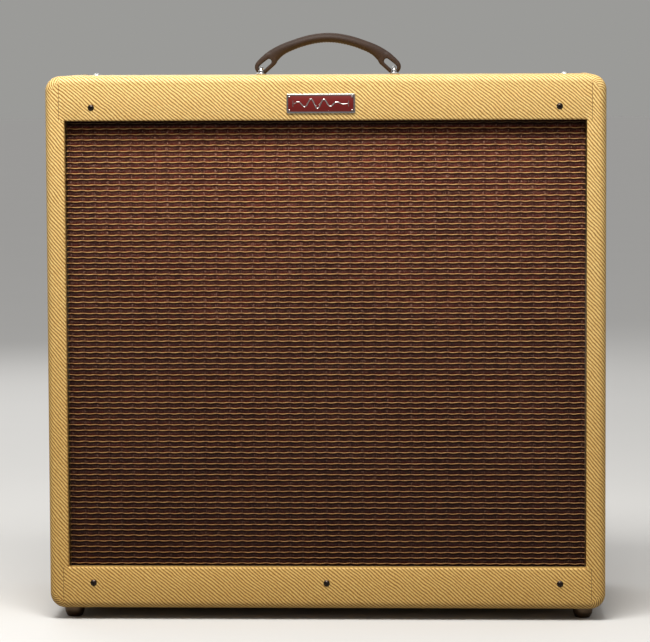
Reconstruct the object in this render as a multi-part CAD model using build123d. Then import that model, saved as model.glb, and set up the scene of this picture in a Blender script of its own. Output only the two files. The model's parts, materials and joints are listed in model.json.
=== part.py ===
"""Open-back combo guitar amplifier: finger-jointed pine cabinet in woven tweed, four ten-inch
speakers on a floating baffle, a valve chassis hung under the top with upward-facing controls.

Frame: millimetres, origin on the floor under the middle of the cabinet, +Z up, front towards -Y,
left at -X. Every piece is its own solid, written to parts/NODE.step.
"""

from build123d import *
import math
import os

os.makedirs("parts", exist_ok=True)

# ---------------------------------------------------------------- driving dimensions
WIDTH = 597.0            # over the covering
BODY_H = 571.5           # cabinet height without feet
FOOT_H = 12.7
DEPTH_BOTTOM = 267.0
DEPTH_TOP = 241.6        # the back leans in
SKIN = 0.8               # covering cloth thickness
BOARD = 19.0             # pine board thickness
CORNER_R = 16.0          # side to top and bottom corners, seen from the front
FRONT_R = 8.0            # round-over along the front edges
BACK_R = 6.0             # round-over along the back edges
FINGER = 12.7            # finger joint pitch
TOP_BOARD_BACK = 19.7    # y of the top board's back edge, where the control panel starts
Y_SHIFT = 0.515          # puts the badge and the back screws equally far from the origin
SIDES = (-1, 1)          # left, right; also front, back

Z_BOTTOM = FOOT_H
Z_TOP = FOOT_H + BODY_H
Y_FRONT = -DEPTH_BOTTOM / 2 + Y_SHIFT
Y_BACK = DEPTH_BOTTOM / 2 + Y_SHIFT      # at the bottom edge
Y_WOOD = Y_FRONT + SKIN                  # front plane of the wood
LEAN = math.atan((DEPTH_BOTTOM - DEPTH_TOP) / BODY_H)
X_IN = WIDTH / 2 - SKIN - BOARD          # inner face of the side panels
Z_FLOOR = Z_BOTTOM + SKIN + BOARD        # top of the bottom panel
Z_CEILING = Z_TOP - SKIN - BOARD         # underside of the top panel
# Leaning back: local x across, y outwards, z up along the slope
BACK = Location((0, Y_BACK, Z_BOTTOM), (math.degrees(LEAN), 0, 0))

# Bounds safely outside the cabinet, for cutting boxes
FAR_X, FAR_Y, FAR_Z = 310.0, 200.0, 620.0

HANDLE_Y = -50.0
BAIL_X = 72.0            # handle bails, +/-
BAIL_HALF = 9.0          # bail legs in front of and behind HANDLE_Y
WIRE_R = 1.7             # bail wire


# ---------------------------------------------------------------- helpers
def brick(x0, x1, y0, y1, z0, z1):
    return Pos((x0 + x1) / 2, (y0 + y1) / 2, (z0 + z1) / 2) * Box(x1 - x0, y1 - y0, z1 - z0)


def side_brick(side, x_in, x_out, *yz):
    """A brick between two distances from the middle, on the left (-1) or right (1)."""
    return brick(*sorted((side * x_in, side * x_out)), *yz)


def rod_x(y, z, x0, x1, radius):
    return Pos((x0 + x1) / 2, y, z) * Rot(0, 90, 0) * Cylinder(radius, x1 - x0)


def rod_y(x, z, y0, y1, radius):
    return Pos(x, (y0 + y1) / 2, z) * Rot(90, 0, 0) * Cylinder(radius, y1 - y0)


def rod_z(x, y, z0, z1, radius):
    return Pos(x, y, (z0 + z1) / 2) * Cylinder(radius, z1 - z0)


def solids_of(*shapes):
    found = []
    for shape in shapes:
        if isinstance(shape, (list, tuple)):
            found += solids_of(*shape)
        else:
            found += list(shape.solids())
    return found


def save(name, *shapes):
    solids = solids_of(*shapes)
    piece = solids[0] if len(solids) == 1 else Compound(children=solids)
    export_step(piece, f"parts/{name}.step")


def revolve_z(points):
    """A closed ring of (radius, height) points turned about Z."""
    return revolve(Plane.XZ * make_face(Polyline(*points, close=True)), Axis.Z)


def hex_nut(across_flats, bore_r, height):
    body = extrude(RegularPolygon(across_flats / math.sqrt(3), 6), height)
    return body - Pos(0, 0, height / 2) * Cylinder(bore_r, height * 2)


def screw(length, head_r=3.5, head_h=1.8, shank_r=1.75, lift=0.0):
    """A cross-headed screw, shank down -Z from z = 0, domed head above z = lift."""
    dome_r = (head_r ** 2 + head_h ** 2) / (2 * head_h)
    dome = Pos(0, 0, lift + head_h - dome_r) * Sphere(dome_r)
    head = dome & (Pos(0, 0, lift + head_h / 2) * Cylinder(head_r, head_h))
    slot_l, slot_w = head_r * 1.05, head_r * 0.24
    cross = Box(slot_l, slot_w, head_h) + Box(slot_w, slot_l, head_h)
    head -= Pos(0, 0, lift + head_h) * cross
    shank = Pos(0, 0, (lift - length) / 2) * Cylinder(shank_r, length + lift)
    tip = Pos(0, 0, -length - shank_r) * Cone(0.15, shank_r, 2 * shank_r)
    return head + shank + tip


# ---------------------------------------------------------------- cabinet block
def cabinet_block(inset):
    """The whole cabinet as a rounded block, inset from the covering's outside."""
    z_low, z_high = Z_BOTTOM + inset, Z_TOP - inset

    def back_y(z):
        return Y_BACK - (z - Z_BOTTOM) * math.tan(LEAN) - inset / math.cos(LEAN)

    outline = [
        (Y_FRONT + inset, z_low), (back_y(z_low), z_low),
        (back_y(z_high), z_high), (Y_FRONT + inset, z_high),
    ]
    half = WIDTH / 2 - inset
    face = Plane.YZ.offset(-half) * make_face(Polyline(*outline, close=True))
    block = extrude(face, amount=2 * half, dir=(1, 0, 0))
    block = fillet(block.edges().filter_by(Axis.Y), CORNER_R - inset)
    block = fillet(block.faces().sort_by(Axis.Y)[0].edges(), FRONT_R - inset)
    flat_faces = (face for face in block.faces() if face.geom_type == GeomType.PLANE)
    back = max(flat_faces, key=lambda face: face.center().Y)
    return fillet(back.edges(), BACK_R - inset)


def finger_spans(y_end):
    """(index, y0, y1) of each finger, from the front back to y_end."""
    count = math.ceil((y_end - Y_WOOD) / FINGER - 1e-6)
    return [
        (i, Y_WOOD + i * FINGER, min(Y_WOOD + (i + 1) * FINGER, y_end)) for i in range(count)
    ]


def finger_cuts(side, spans, parity, z0, z1):
    return [
        side_brick(side, X_IN, FAR_X, y0, y1, z0, z1) for i, y0, y1 in spans if i % 2 == parity
    ]


def drill_top(x, y, radius):
    return rod_z(x, y, Z_CEILING - 5, Z_TOP + 5, radius)


outer = cabinet_block(0.0)
core = cabinet_block(SKIN)
top_fingers = finger_spans(TOP_BOARD_BACK)
bottom_fingers = finger_spans(140.0)     # runs past the back

SCREW_HOLE_R = 2.05
chassis_screw_at = [(-258.0, 8.0), (258.0, 8.0)]                               # x, y
foot_at = [(sx * 275.0, sy * 103.0) for sx in SIDES for sy in SIDES]           # x, y
bail_holes = [
    drill_top(sx * BAIL_X, HANDLE_Y + sy * BAIL_HALF, WIRE_R + 0.05) for sx in SIDES for sy in SIDES
]
chassis_holes = [drill_top(x, y, SCREW_HOLE_R) for x, y in chassis_screw_at]
foot_holes = [rod_z(x, y, Z_BOTTOM - 2, Z_BOTTOM + 16.2, SCREW_HOLE_R) for x, y in foot_at]

# Side panels keep the even fingers, top and bottom panels the odd ones
for name, side in (("side_panel_left", -1), ("side_panel_right", 1)):
    panel = core & side_brick(side, X_IN, FAR_X, -FAR_Y, FAR_Y, 0, FAR_Z)
    cuts = finger_cuts(side, top_fingers, 1, Z_CEILING, FAR_Z)
    cuts += finger_cuts(side, bottom_fingers, 1, 0, Z_FLOOR)
    panel = panel - cuts
    panel = panel - [hole for hole, (x, y) in zip(foot_holes, foot_at) if x * side > 0]
    save(name, panel)

panel = core & brick(-FAR_X, FAR_X, -FAR_Y, TOP_BOARD_BACK, Z_CEILING, FAR_Z)
panel = panel - [
    cut for side in SIDES for cut in finger_cuts(side, top_fingers, 0, Z_CEILING - 1, FAR_Z)
]
save("top_panel", panel - bail_holes - chassis_holes)

panel = core & brick(-FAR_X, FAR_X, -FAR_Y, FAR_Y, 0, Z_FLOOR)
panel = panel - [
    cut for side in SIDES for cut in finger_cuts(side, bottom_fingers, 0, 0, Z_FLOOR + 1)
]
save("bottom_panel", panel - foot_holes)

# ---------------------------------------------------------------- front rails, baffle, cloth
RAIL_T = 12.7
OPEN_TOP = 536.5                 # grille opening
OPEN_BOTTOM = 57.3
CLOTH_T = 1.0
BAFFLE_T = 12.7
BAFFLE_X = 275.5                 # half width
BAFFLE_Z0, BAFFLE_Z1 = 35.0, 561.9
SPEAKER_X = 132.0                # speaker centres, +/-
SPEAKER_Z = (432.0, 176.0)
FLANGE_R = 127.0                 # ten-inch speaker frame
CUTOUT_R = 114.0
BOLT_CIRCLE_R = 121.5
BOLT_ANGLES = (45, 135, 225, 315)

Y_RAIL = Y_WOOD + RAIL_T         # back of the rails, front of the grille cloth
Y_BAFFLE = Y_RAIL + CLOTH_T      # front of the baffle
Y_MOUNT = Y_BAFFLE + BAFFLE_T    # back of the baffle, where the speakers sit

front_screw_at = [               # x, z
    (-249.0, 550.7), (249.0, 550.7), (-251.0, 40.5), (0.0, 40.5), (250.0, 40.5),
]
front_holes = [rod_y(x, z, Y_FRONT - 5, Y_BAFFLE + 11.0, 1.8) for x, z in front_screw_at]
save(
    "front_rails",
    brick(-X_IN, X_IN, Y_WOOD, Y_RAIL, OPEN_TOP + SKIN, Z_CEILING) - front_holes,
    brick(-X_IN, X_IN, Y_WOOD, Y_RAIL, Z_FLOOR, OPEN_BOTTOM - SKIN) - front_holes,
)

speaker_at = [(sx * SPEAKER_X, z) for z in SPEAKER_Z for sx in SIDES]
bolt_at = [
    (
        x + BOLT_CIRCLE_R * math.cos(math.radians(angle)),
        z + BOLT_CIRCLE_R * math.sin(math.radians(angle)),
    )
    for x, z in speaker_at
    for angle in BOLT_ANGLES
]
blank = brick(-BAFFLE_X, BAFFLE_X, Y_BAFFLE, Y_MOUNT, BAFFLE_Z0, BAFFLE_Z1)
baffle = blank - [rod_y(x, z, Y_BAFFLE - 1, Y_MOUNT + 1, CUTOUT_R) for x, z in speaker_at]
baffle = baffle - [rod_y(x, z, Y_BAFFLE - 1, Y_MOUNT + 1, 2.45) for x, z in bolt_at]
# Recesses for the bolt heads
baffle = baffle - [rod_y(x, z, Y_BAFFLE - 1, Y_BAFFLE + 1.6, 5.1) for x, z in bolt_at]
save("baffle_board", baffle - front_holes)

# The cloth wraps the baffle and turns in behind it, clear of the speaker frames
cloth = brick(
    -BAFFLE_X - CLOTH_T, BAFFLE_X + CLOTH_T, Y_RAIL, Y_MOUNT + CLOTH_T,
    BAFFLE_Z0 - CLOTH_T, BAFFLE_Z1 + CLOTH_T,
) - blank
cloth = cloth - brick(
    -BAFFLE_X + 11, BAFFLE_X - 11, Y_MOUNT - 0.01, Y_MOUNT + 2, BAFFLE_Z0 + 10, BAFFLE_Z1 - 1.5
)
cloth = cloth - front_holes
cloth = cloth - [rod_y(x, z, Y_MOUNT - 1, Y_MOUNT + 3, FLANGE_R + 1) for x, z in speaker_at]
save("grille_cloth", cloth)

save("baffle_screws", [Location((x, Y_FRONT, z), (90, 0, 0)) * screw(20.0) for x, z in front_screw_at])

# ---------------------------------------------------------------- covering
BACK_PANEL_X = 277.5     # half width
BACK_PANEL_T = 9.5       # board thickness

skin = outer - core
skin = skin - brick(-X_IN, X_IN, -FAR_Y, -100, Z_FLOOR, Z_CEILING)
skin = skin - brick(-X_IN, X_IN, TOP_BOARD_BACK, FAR_Y, Z_FLOOR, FAR_Z)
skin = skin - bail_holes - chassis_holes - foot_holes
reveal = [
    side_brick(side, X_IN, X_IN - SKIN, Y_WOOD, Y_RAIL, OPEN_BOTTOM, OPEN_TOP) for side in SIDES
]
# Cloth turned in around the control panel's gap
lining = [
    outer & side_brick(side, X_IN - SKIN, X_IN, TOP_BOARD_BACK + SKIN, FAR_Y, 556.0, FAR_Z)
    for side in SIDES
]
lining.append(
    outer & brick(-X_IN, X_IN, TOP_BOARD_BACK, TOP_BOARD_BACK + SKIN, Z_CEILING, FAR_Z)
)
back_clearance = BACK * brick(-BACK_PANEL_X - 1, BACK_PANEL_X + 1, -14, 10, 0, 562.0)
save("tweed_covering", skin, reveal, [piece - back_clearance for piece in lining])

rail_skin_top = brick(-X_IN, X_IN, Y_FRONT, Y_WOOD, OPEN_TOP, Z_CEILING)
rail_skin_top += brick(-X_IN, X_IN, Y_FRONT, Y_RAIL, OPEN_TOP, OPEN_TOP + SKIN)
rail_skin_bottom = brick(-X_IN, X_IN, Y_FRONT, Y_WOOD, Z_FLOOR, OPEN_BOTTOM)
rail_skin_bottom += brick(-X_IN, X_IN, Y_FRONT, Y_RAIL, OPEN_BOTTOM - SKIN, OPEN_BOTTOM)
save("tweed_front_rails", rail_skin_top - front_holes, rail_skin_bottom - front_holes)

# ---------------------------------------------------------------- back panels (leaning frame)
LOWER = (21.5, 211.0)            # start and end heights up the slope
UPPER = (395.0, 559.0)
CHASSIS_ROW = 545.0              # height of the screws that enter the chassis
CLEAT = 19.0                     # section of the side cleats
LOW_CLEAT_TOP = 51.5
cleat_y = -2 * SKIN - BACK_PANEL_T       # inner face of the covered panels


def back_hole(x, height):
    return BACK * (Pos(x, -20, height) * Rot(90, 0, 0) * Cylinder(1.8, 60))


back_screw_at = [(sx * 268.0, h) for sx in SIDES for h in (50.0, 120.0, 190.0, 412.0, 470.0)]
back_screw_at += [(sx * 180.0, CHASSIS_ROW) for sx in SIDES] + [(sx * 90.0, 32.0) for sx in SIDES]
back_holes = [back_hole(x, height) for x, height in back_screw_at]

back_skins = []
for name, (start, end) in (("back_panel_lower", LOWER), ("back_panel_upper", UPPER)):
    wood = BACK * brick(
        -BACK_PANEL_X + SKIN, BACK_PANEL_X - SKIN, -SKIN - BACK_PANEL_T, -SKIN,
        start + SKIN, end - SKIN,
    )
    covered = BACK * brick(-BACK_PANEL_X, BACK_PANEL_X, cleat_y, 0, start, end)
    back_skins.append(covered - wood - back_holes)
    save(name, wood - back_holes)
save("tweed_back_panels", back_skins)

cleats = [
    BACK * side_brick(side, X_IN - CLEAT, X_IN, cleat_y - CLEAT, cleat_y, start, end)
    for side in SIDES
    for start, end in ((LOWER[0] + 1, LOWER[1] - 2), (UPPER[0] + 2, 483.0))
]
low_y = Y_BACK - (LOW_CLEAT_TOP - Z_BOTTOM) * math.tan(LEAN) + cleat_y / math.cos(LEAN)
cleats.append(brick(-X_IN + 21, X_IN - 21, low_y - 19.2, low_y - 0.3, Z_FLOOR, LOW_CLEAT_TOP))
save("back_cleats", [cleat - back_holes for cleat in cleats])

cup = Pos(0, 0, 0.5) * (Cylinder(6.0, 1.0) - Cylinder(1.9, 3.0))
back_screws = []
for x, height in back_screw_at:
    place = BACK * Location((x, 0, height), (-90, 0, 0))
    length = 16.0 if height == CHASSIS_ROW else 24.0
    back_screws += [place * cup, place * screw(length, lift=1.0)]
save("back_panel_screws", back_screws)

# ---------------------------------------------------------------- badge
BADGE_W, BADGE_H = 73.0, 20.6
BADGE_T = 1.6
BADGE_FLOOR = 1.1        # bottom of the recess that holds the enamel
PIN_INSET = 3.2
badge_place = Location((-4.0, Y_FRONT, 554.4), (90, 0, 0))


def badge_sheet(inset, thickness):
    sheet = extrude(RectangleRounded(BADGE_W - inset, BADGE_H - inset, 0.6), thickness)
    return Pos(0, 0, BADGE_FLOOR) * sheet


plate = extrude(RectangleRounded(BADGE_W, BADGE_H, 1.6), BADGE_T)
plate = fillet(plate.faces().sort_by(Axis.Z)[-1].edges(), 0.5)
plate = plate - badge_sheet(3.6, 2.0)
pin = Sphere(1.0) & Pos(0, 0, 0.75) * Box(4, 4, 1.5)
pins = [
    Pos(sx * (BADGE_W / 2 - PIN_INSET), sy * (BADGE_H / 2 - PIN_INSET), 1.4) * pin
    for sx in SIDES
    for sy in SIDES
]
save("badge_frame", badge_place * plate, [badge_place * pin for pin in pins])
save("badge_enamel", badge_place * badge_sheet(3.8, 0.3))

# ---------------------------------------------------------------- handle
BAR_Z = 7.6              # bail bar centre above the cabinet top
TAB_T = 7.0              # thickness of the grip's end tabs
WIRE_BORE = WIRE_R + 0.02

FERRULE = [              # radius, height
    (WIRE_BORE, 0), (4.75, 0), (4.75, 1.6), (3.9, 2.6),
    (3.0, 2.8), (3.0, 4.6), (2.4, 5.2), (WIRE_BORE, 5.2),
]
ferrule = revolve_z(FERRULE)
bails = []
for side in SIDES:
    x, y0, y1 = side * BAIL_X, HANDLE_Y - BAIL_HALF, HANDLE_Y + BAIL_HALF
    z_end, z_bar = Z_CEILING - 4, Z_TOP + BAR_Z
    path = FilletPolyline((x, y0, z_end), (x, y0, z_bar), (x, y1, z_bar), (x, y1, z_end), radius=4.5)
    bails.append(sweep(Plane((x, y0, z_end), z_dir=(0, 0, 1)) * Circle(WIRE_R), path=path))
    for y in (y0, y1):
        bails.append(Pos(x, y, Z_TOP) * ferrule)
        bails.append(Pos(x, y, Z_CEILING - 3.0) * hex_nut(7.0, WIRE_BORE, 3.0))
save("handle_bails", bails)

# Grip sections: x, height above the top, half thickness, half width along y
GRIP_HALF = [
    (63.5, 15.8, 7.9, 3.5), (57.0, 22.3, 6.3, 4.0), (46.0, 29.6, 4.7, 5.4), (26.0, 37.3, 4.25, 7.2),
]
GRIP_MIDDLE = (0.0, 41.2, 4.15, 8.0)
stations = [(-x, *rest) for x, *rest in GRIP_HALF] + [GRIP_MIDDLE] + GRIP_HALF[::-1]


def grip_section(i):
    """The ellipse at station i, square to the line between its neighbours."""
    x, z, half_thick, half_wide = stations[i]
    before, after = stations[max(i - 1, 0)], stations[min(i + 1, len(stations) - 1)]
    along = Vector(after[0] - before[0], 0, after[1] - before[1]).normalized()
    plane = Plane(origin=(x, HANDLE_Y, Z_TOP + z), x_dir=(0, 1, 0), z_dir=along)
    return plane * Ellipse(half_wide, half_thick)


def slot_prism(start, end, width, thickness):
    """A slot shape between two (x, height above the top) points, centred on HANDLE_Y."""
    run, rise = end[0] - start[0], end[1] - start[1]
    plane = Plane(
        origin=(
            (start[0] + end[0]) / 2, HANDLE_Y + thickness / 2, Z_TOP + (start[1] + end[1]) / 2
        ),
        x_dir=(run, 0, rise),
        z_dir=(0, 1, 0),
    )
    return extrude(plane * SlotCenterToCenter(math.hypot(run, rise), width), amount=-thickness)


def on_tab_face(edge):
    return abs(abs(edge.center().Y - HANDLE_Y) - TAB_T / 2) < 0.01


handle = loft([grip_section(i) for i in range(len(stations))])
for side in SIDES:
    tab = slot_prism((side * 71.4, 8.55), (side * 62.5, 16.6), 15.8, TAB_T)
    handle = handle + fillet(tab.edges().filter_by(on_tab_face), 3.0)
for side in SIDES:
    handle = handle - slot_prism((side * 71.8, BAR_Z), (side * 63.85, 14.8), 6.3, 24.0)
# The slots' mouths flare, so that the bail bar can lean in them
for side in SIDES:
    for sy in SIDES:
        mouth = Pos(side * 71.8, HANDLE_Y + sy * 3.05, Z_TOP + BAR_Z)
        handle = handle - mouth * Rot(-90 * sy, 0, 0) * Cone(3.15, 4.6, 1.5)
save("handle_grip", max(handle.solids(), key=lambda solid: solid.volume))

# ---------------------------------------------------------------- feet
GLIDE = [                # radius, height
    (0, 0), (7.5, 0), (8.6, 1.2), (10.2, 5.0), (11.0, 9.5), (11.0, FOOT_H), (0, FOOT_H),
]
glide = revolve_z(GLIDE) + rod_z(0, 0, FOOT_H - 0.5, FOOT_H + 15.5, 2.0)
save("glide_feet", [Pos(x, y, 0) * glide for x, y in foot_at])

# ---------------------------------------------------------------- speakers
# Outlines are (radius, height) about Z; height runs backwards from the baffle once placed.
BASKET = [
    (111.0, 0.0), (FLANGE_R, 0.0), (FLANGE_R, 1.3), (113.5, 1.3), (107.5, 13.5), (54.5, 45.3),
    (52.0, 46.0), (47.0, 53.3), (20.0, 53.3), (20.0, 52.0), (45.8, 52.0), (50.2, 44.6),
    (43.0, 44.6), (43.0, 43.3), (54.0, 43.3), (106.3, 12.3), (111.0, 1.6),
]
YOKE = [
    (0.0, 55.0), (12.1, 55.0), (12.1, 89.0), (30.0, 89.0), (30.0, 59.4), (37.5, 59.4),
    (37.5, 88.0), (36.0, 93.0), (32.0, 96.0), (26.0, 97.5), (0.0, 97.5),
]
TOP_PLATE = [(13.7, 53.4), (38.5, 53.4), (38.5, 59.4), (13.7, 59.4)]
SURROUND = [
    (100.4, 1.9), (102.0, 1.4), (104.0, 0.7), (106.0, 1.6), (108.0, 0.6), (110.6, 0.6),
    (110.6, 1.4), (108.4, 1.4), (106.0, 2.5), (104.0, 1.6), (102.0, 2.3), (100.4, 2.8),
]
CONE = [
    (100.0, 1.9), (78.0, 9.0), (52.0, 19.4), (30.0, 30.0), (15.0, 37.9), (13.2, 38.9),
    (13.2, 39.9), (15.4, 38.9), (30.4, 31.0), (52.4, 20.3), (78.3, 9.9), (100.0, 2.8),
]
DUST_CAP = [
    (0.0, 22.0), (8.0, 22.5), (16.0, 24.4), (22.0, 27.2), (26.0, 30.6), (27.0, 31.2),
    (26.2, 31.6), (25.4, 31.2), (21.5, 28.0), (15.6, 25.2), (7.8, 23.2), (0.0, 22.7),
]
COIL = [(12.5, 36.5), (13.1, 36.5), (13.1, 54.5), (13.35, 54.5), (13.35, 58.6), (12.5, 58.6)]
SPIDER_R0, SPIDER_R1 = 13.6, 49.6
SPIDER_Z, SPIDER_T = 42.2, 0.7
SPIDER_STEPS = 4 * 5     # four steps to each of five corrugations
SPIDER_WAVE = 0.9        # corrugation height either side; both rims stay flat
WINDOWS = 8


def make_basket():
    basket = revolve_z(BASKET)
    for i in range(WINDOWS):
        angle = (i + 0.5) * 360 / WINDOWS
        window = Rot(0, 0, angle) * Pos(80.0, 0, 28) * Box(38.0, 34.0, 40.0)
        window = window & (Cylinder(101.0, 200.0) - Cylinder(61.0, 300.0))
        basket = basket - window
    basket = basket - [
        Rot(0, 0, angle) * Pos(BOLT_CIRCLE_R, 0, 0) * Cylinder(2.6, 10) for angle in BOLT_ANGLES
    ]
    solder_tag = Pos(0, 116.5, 7.0) * Box(22, 2.0, 11.4)
    return basket + solder_tag


def make_spider():
    front = []
    for i in range(SPIDER_STEPS + 1):
        radius = SPIDER_R0 + (SPIDER_R1 - SPIDER_R0) * i / SPIDER_STEPS
        wavy = 2 < i < SPIDER_STEPS - 3
        wave = SPIDER_WAVE * math.sin(math.pi / 2 * i) if wavy else 0.0
        front.append((radius, SPIDER_Z + wave))
    back = [(radius, z + SPIDER_T) for radius, z in front]
    return revolve_z(front + back[::-1])


speaker_places = [Location((x, Y_MOUNT, z), (-90, 0, 0)) for x, z in speaker_at]


def at_speakers(*shapes):
    return [place * shape for place in speaker_places for shape in shapes]


moving = [revolve_z(CONE), revolve_z(DUST_CAP), revolve_z(COIL)]
corners = ("upper_left", "upper_right", "lower_left", "lower_right")
for place, corner in zip(speaker_places, corners):
    save(f"speaker_cone_{corner}", [place * shape for shape in moving])
save("speaker_frames", at_speakers(make_basket()))
save("speaker_magnets", at_speakers(revolve_z(YOKE), revolve_z(TOP_PLATE)))
save("speaker_spiders", at_speakers(make_spider()))
save("speaker_surrounds", at_speakers(revolve_z(SURROUND)))

bolt = rod_z(0, 0, 0, 1.4, 4.9) + rod_z(0, 0, 0, BAFFLE_T + 8.2, 2.4)
bolt_nut = Pos(0, 0, BAFFLE_T + 1.35) * hex_nut(8.0, 2.42, 3.9)
fasteners = []
for x, z in bolt_at:
    place = Location((x, Y_BAFFLE, z), (-90, 0, 0))
    fasteners += [place * bolt, place * bolt_nut]
save("speaker_fasteners", fasteners)

# ---------------------------------------------------------------- chassis
PANEL_TOP = 563.9            # z of the control panel's face
SHEET = 1.5
PANEL_UNDER = PANEL_TOP - SHEET
CH_X = 276.0                 # half length
CH_Y0, CH_Y1 = 22.0, 97.0    # front wall and open back
CH_Z = 500.0                 # underside
CTRL_Y = 60.0                # line of the controls
KNOB_X = {
    "presence": 82.0, "middle": 36.0, "bass": -10.0,
    "treble": -56.0, "volume_bright": -102.0, "volume_normal": -148.0,
}
JACK_X = [-185.0, -207.0, -229.0, -251.0]
TOGGLE_X = {"standby": 125.0, "power": 205.0}
PILOT_X, FUSE_X = 165.0, 240.0
SOCKET_Y = 62.0
OCTAL_X = [138.0, 92.0, 46.0]        # rectifier and the two output valves
NOVAL_X = [-95.0, -150.0, -205.0]
CORD_X, CORD_Y = 264.0, 52.0
LEAD_X, LEAD_Y = -74.0, 80.0         # where the speaker lead leaves


def panel_hole(x, radius, y=CTRL_Y):
    return rod_z(x, y, PANEL_UNDER - 2, PANEL_TOP + 2, radius)


def floor_hole(x, y, radius):
    return rod_z(x, y, CH_Z - 2, CH_Z + 4, radius)


# Control panel, front wall, floor, upper and lower lips of the open back, end walls
chassis = brick(-CH_X, CH_X, -4, CH_Y1, PANEL_UNDER, PANEL_TOP)
chassis += brick(-CH_X, CH_X, CH_Y0, CH_Y0 + SHEET, CH_Z, PANEL_UNDER)
chassis += brick(-CH_X, CH_X, CH_Y0, CH_Y1, CH_Z, CH_Z + SHEET)
chassis += brick(-CH_X, CH_X, CH_Y1 - SHEET, CH_Y1, PANEL_UNDER - 15, PANEL_UNDER)
chassis += brick(-CH_X, CH_X, CH_Y1 - SHEET, CH_Y1, CH_Z, CH_Z + 12)
for side in SIDES:
    chassis += side_brick(side, CH_X - SHEET, CH_X, CH_Y0, CH_Y1, CH_Z, PANEL_TOP)
cuts = [panel_hole(x, 4.8) for x in [*KNOB_X.values(), *JACK_X]]
cuts += [panel_hole(x, 6.0) for x in TOGGLE_X.values()]
cuts += [panel_hole(PILOT_X, 8.1), panel_hole(FUSE_X, 6.5)]
cuts += [panel_hole(x, SCREW_HOLE_R, y) for x, y in chassis_screw_at]
cuts += [floor_hole(x, SOCKET_Y, 14.2) for x in OCTAL_X]
cuts += [floor_hole(x, SOCKET_Y, 9.7) for x in NOVAL_X]
cuts += [floor_hole(CORD_X, CORD_Y, 6.1), floor_hole(LEAD_X, LEAD_Y, 4.1)]
cuts += [back_hole(x, height) for x, height in back_screw_at if height == CHASSIS_ROW]
save("chassis", chassis - cuts)

chassis_screws = []
for x, y in chassis_screw_at:
    chassis_screws.append(Pos(x, y, Z_TOP) * screw(24.0, head_r=3.8, head_h=2.3, shank_r=2.0))
    chassis_screws.append(Pos(x, y, PANEL_UNDER - 3.2) * hex_nut(7.0, 2.02, 3.2))
save("chassis_screws", chassis_screws)

# ---------------------------------------------------------------- controls
BUSH_R = 4.75            # threaded bush of the pots and jacks


def on_panel(x, lift=0.0):
    return Pos(x, CTRL_Y, PANEL_TOP + lift)


def under_panel(x):
    return Pos(x, CTRL_Y, PANEL_UNDER)


def make_pot():
    """Origin on the control line at the panel's underside."""
    pot = rod_z(0, 0, -11, 0, 12.0) + rod_z(0, 0, -1, SHEET + 5.6, BUSH_R)
    for x in (-5, 0, 5):
        pot += brick(x - 1.2, x + 1.2, 11, 19, -8.0, -7.2)
    return pot - rod_z(0, 0, -4.4, SHEET + 8, 3.225)


def make_knob():
    """Pointer knob: a round skirt under a bar that tapers towards the front."""
    outline = make_face(Polyline(
        (-5.0, -7.0), (-1.5, -18.0), (1.5, -18.0), (5.0, -7.0),
        (6.4, 6.0), (3.4, 12.0), (-3.4, 12.0), (-6.4, 6.0), close=True,
    ))
    knob = extrude(fillet(outline.vertices(), 1.2), amount=15.4, dir=(0, 0, 1))
    knob = knob + rod_z(0, 0, 0, 6.4, 10.4)
    return knob - rod_z(0, 0, -0.01, 5.21, 8.4) - rod_z(0, 0, 0, 13.8, 3.25)


def make_jack():
    """Origin on the control line at the panel's underside."""
    jack = rod_z(0, 0, -2, SHEET + 5.5, BUSH_R) + rod_z(0, 0, -2, 0, 7.0)
    jack += brick(-4, 4, 0, 10.5, -2, -0.8)
    jack += brick(-4, 4, 9.3, 10.5, -32, -1)
    jack += brick(-4, 4, -9.0, 10.5, -40.5, -38.5)
    jack += brick(-4, 4, 9.3, 10.5, -40, -30)
    jack += brick(-2.5, 2.5, -9.0, -8.2, -40, -14)
    return jack - rod_z(0, 0, -20, SHEET + 10, 3.25)


def make_toggle_body():
    """Origin on the control line at the panel's underside."""
    body = brick(-8, 8, -14, 14, -18, 0) + rod_z(0, 0, -1, SHEET + 6.5, 5.9)
    body = body - rod_z(0, 0, -3.0, SHEET + 9, 3.6)
    for y in (-8, 8):
        body += brick(-2.5, 2.5, y - 0.5, y + 0.5, -26, -18)
    return body


pot, knob, jack, toggle_body = make_pot(), make_knob(), make_jack(), make_toggle_body()
shaft = rod_z(0, 0, -5.0, 13.4, 3.175)
for name, x in KNOB_X.items():
    save(f"knob_{name}", on_panel(x, 1.0) * knob, on_panel(x, 1.0) * shaft)
save("potentiometers", [under_panel(x) * pot for x in KNOB_X.values()])
save("input_jacks", [under_panel(x) * jack for x in JACK_X])
save("toggle_switch_bodies", [under_panel(x) * toggle_body for x in TOGGLE_X.values()])

TOGGLE_TILT = 13.0       # degrees from upright, towards the back
LEVER_L = 11.2
lever = Sphere(3.4) + Cone(1.7, 2.9, LEVER_L, align=(Align.CENTER, Align.CENTER, Align.MIN))
lever = lever + Pos(0, 0, LEVER_L) * Sphere(2.9)
for name, x in TOGGLE_X.items():
    save(f"{name}_toggle", on_panel(x, 2.6) * Rot(-TOGGLE_TILT, 0, 0) * lever)

bush_nut, toggle_nut = hex_nut(12.7, BUSH_R + 0.01, 2.4), hex_nut(14.3, 5.92, 2.2)
nuts = [on_panel(x) * bush_nut for x in [*KNOB_X.values(), *JACK_X]]
save("panel_nuts", nuts, [on_panel(x) * toggle_nut for x in TOGGLE_X.values()])

BEZEL = [(0, 0), (10.4, 0), (10.4, 1.6), (9.4, 4.6), (8.9, 5.2), (0, 5.2)]    # radius, height
bezel = rod_z(0, 0, -14.0, 0.4, 8.0) + revolve_z(BEZEL)
bezel = bezel - rod_z(0, 0, -13.0, 8.0, 7.0)
save("pilot_lamp_bezel", on_panel(PILOT_X) * bezel)

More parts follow.
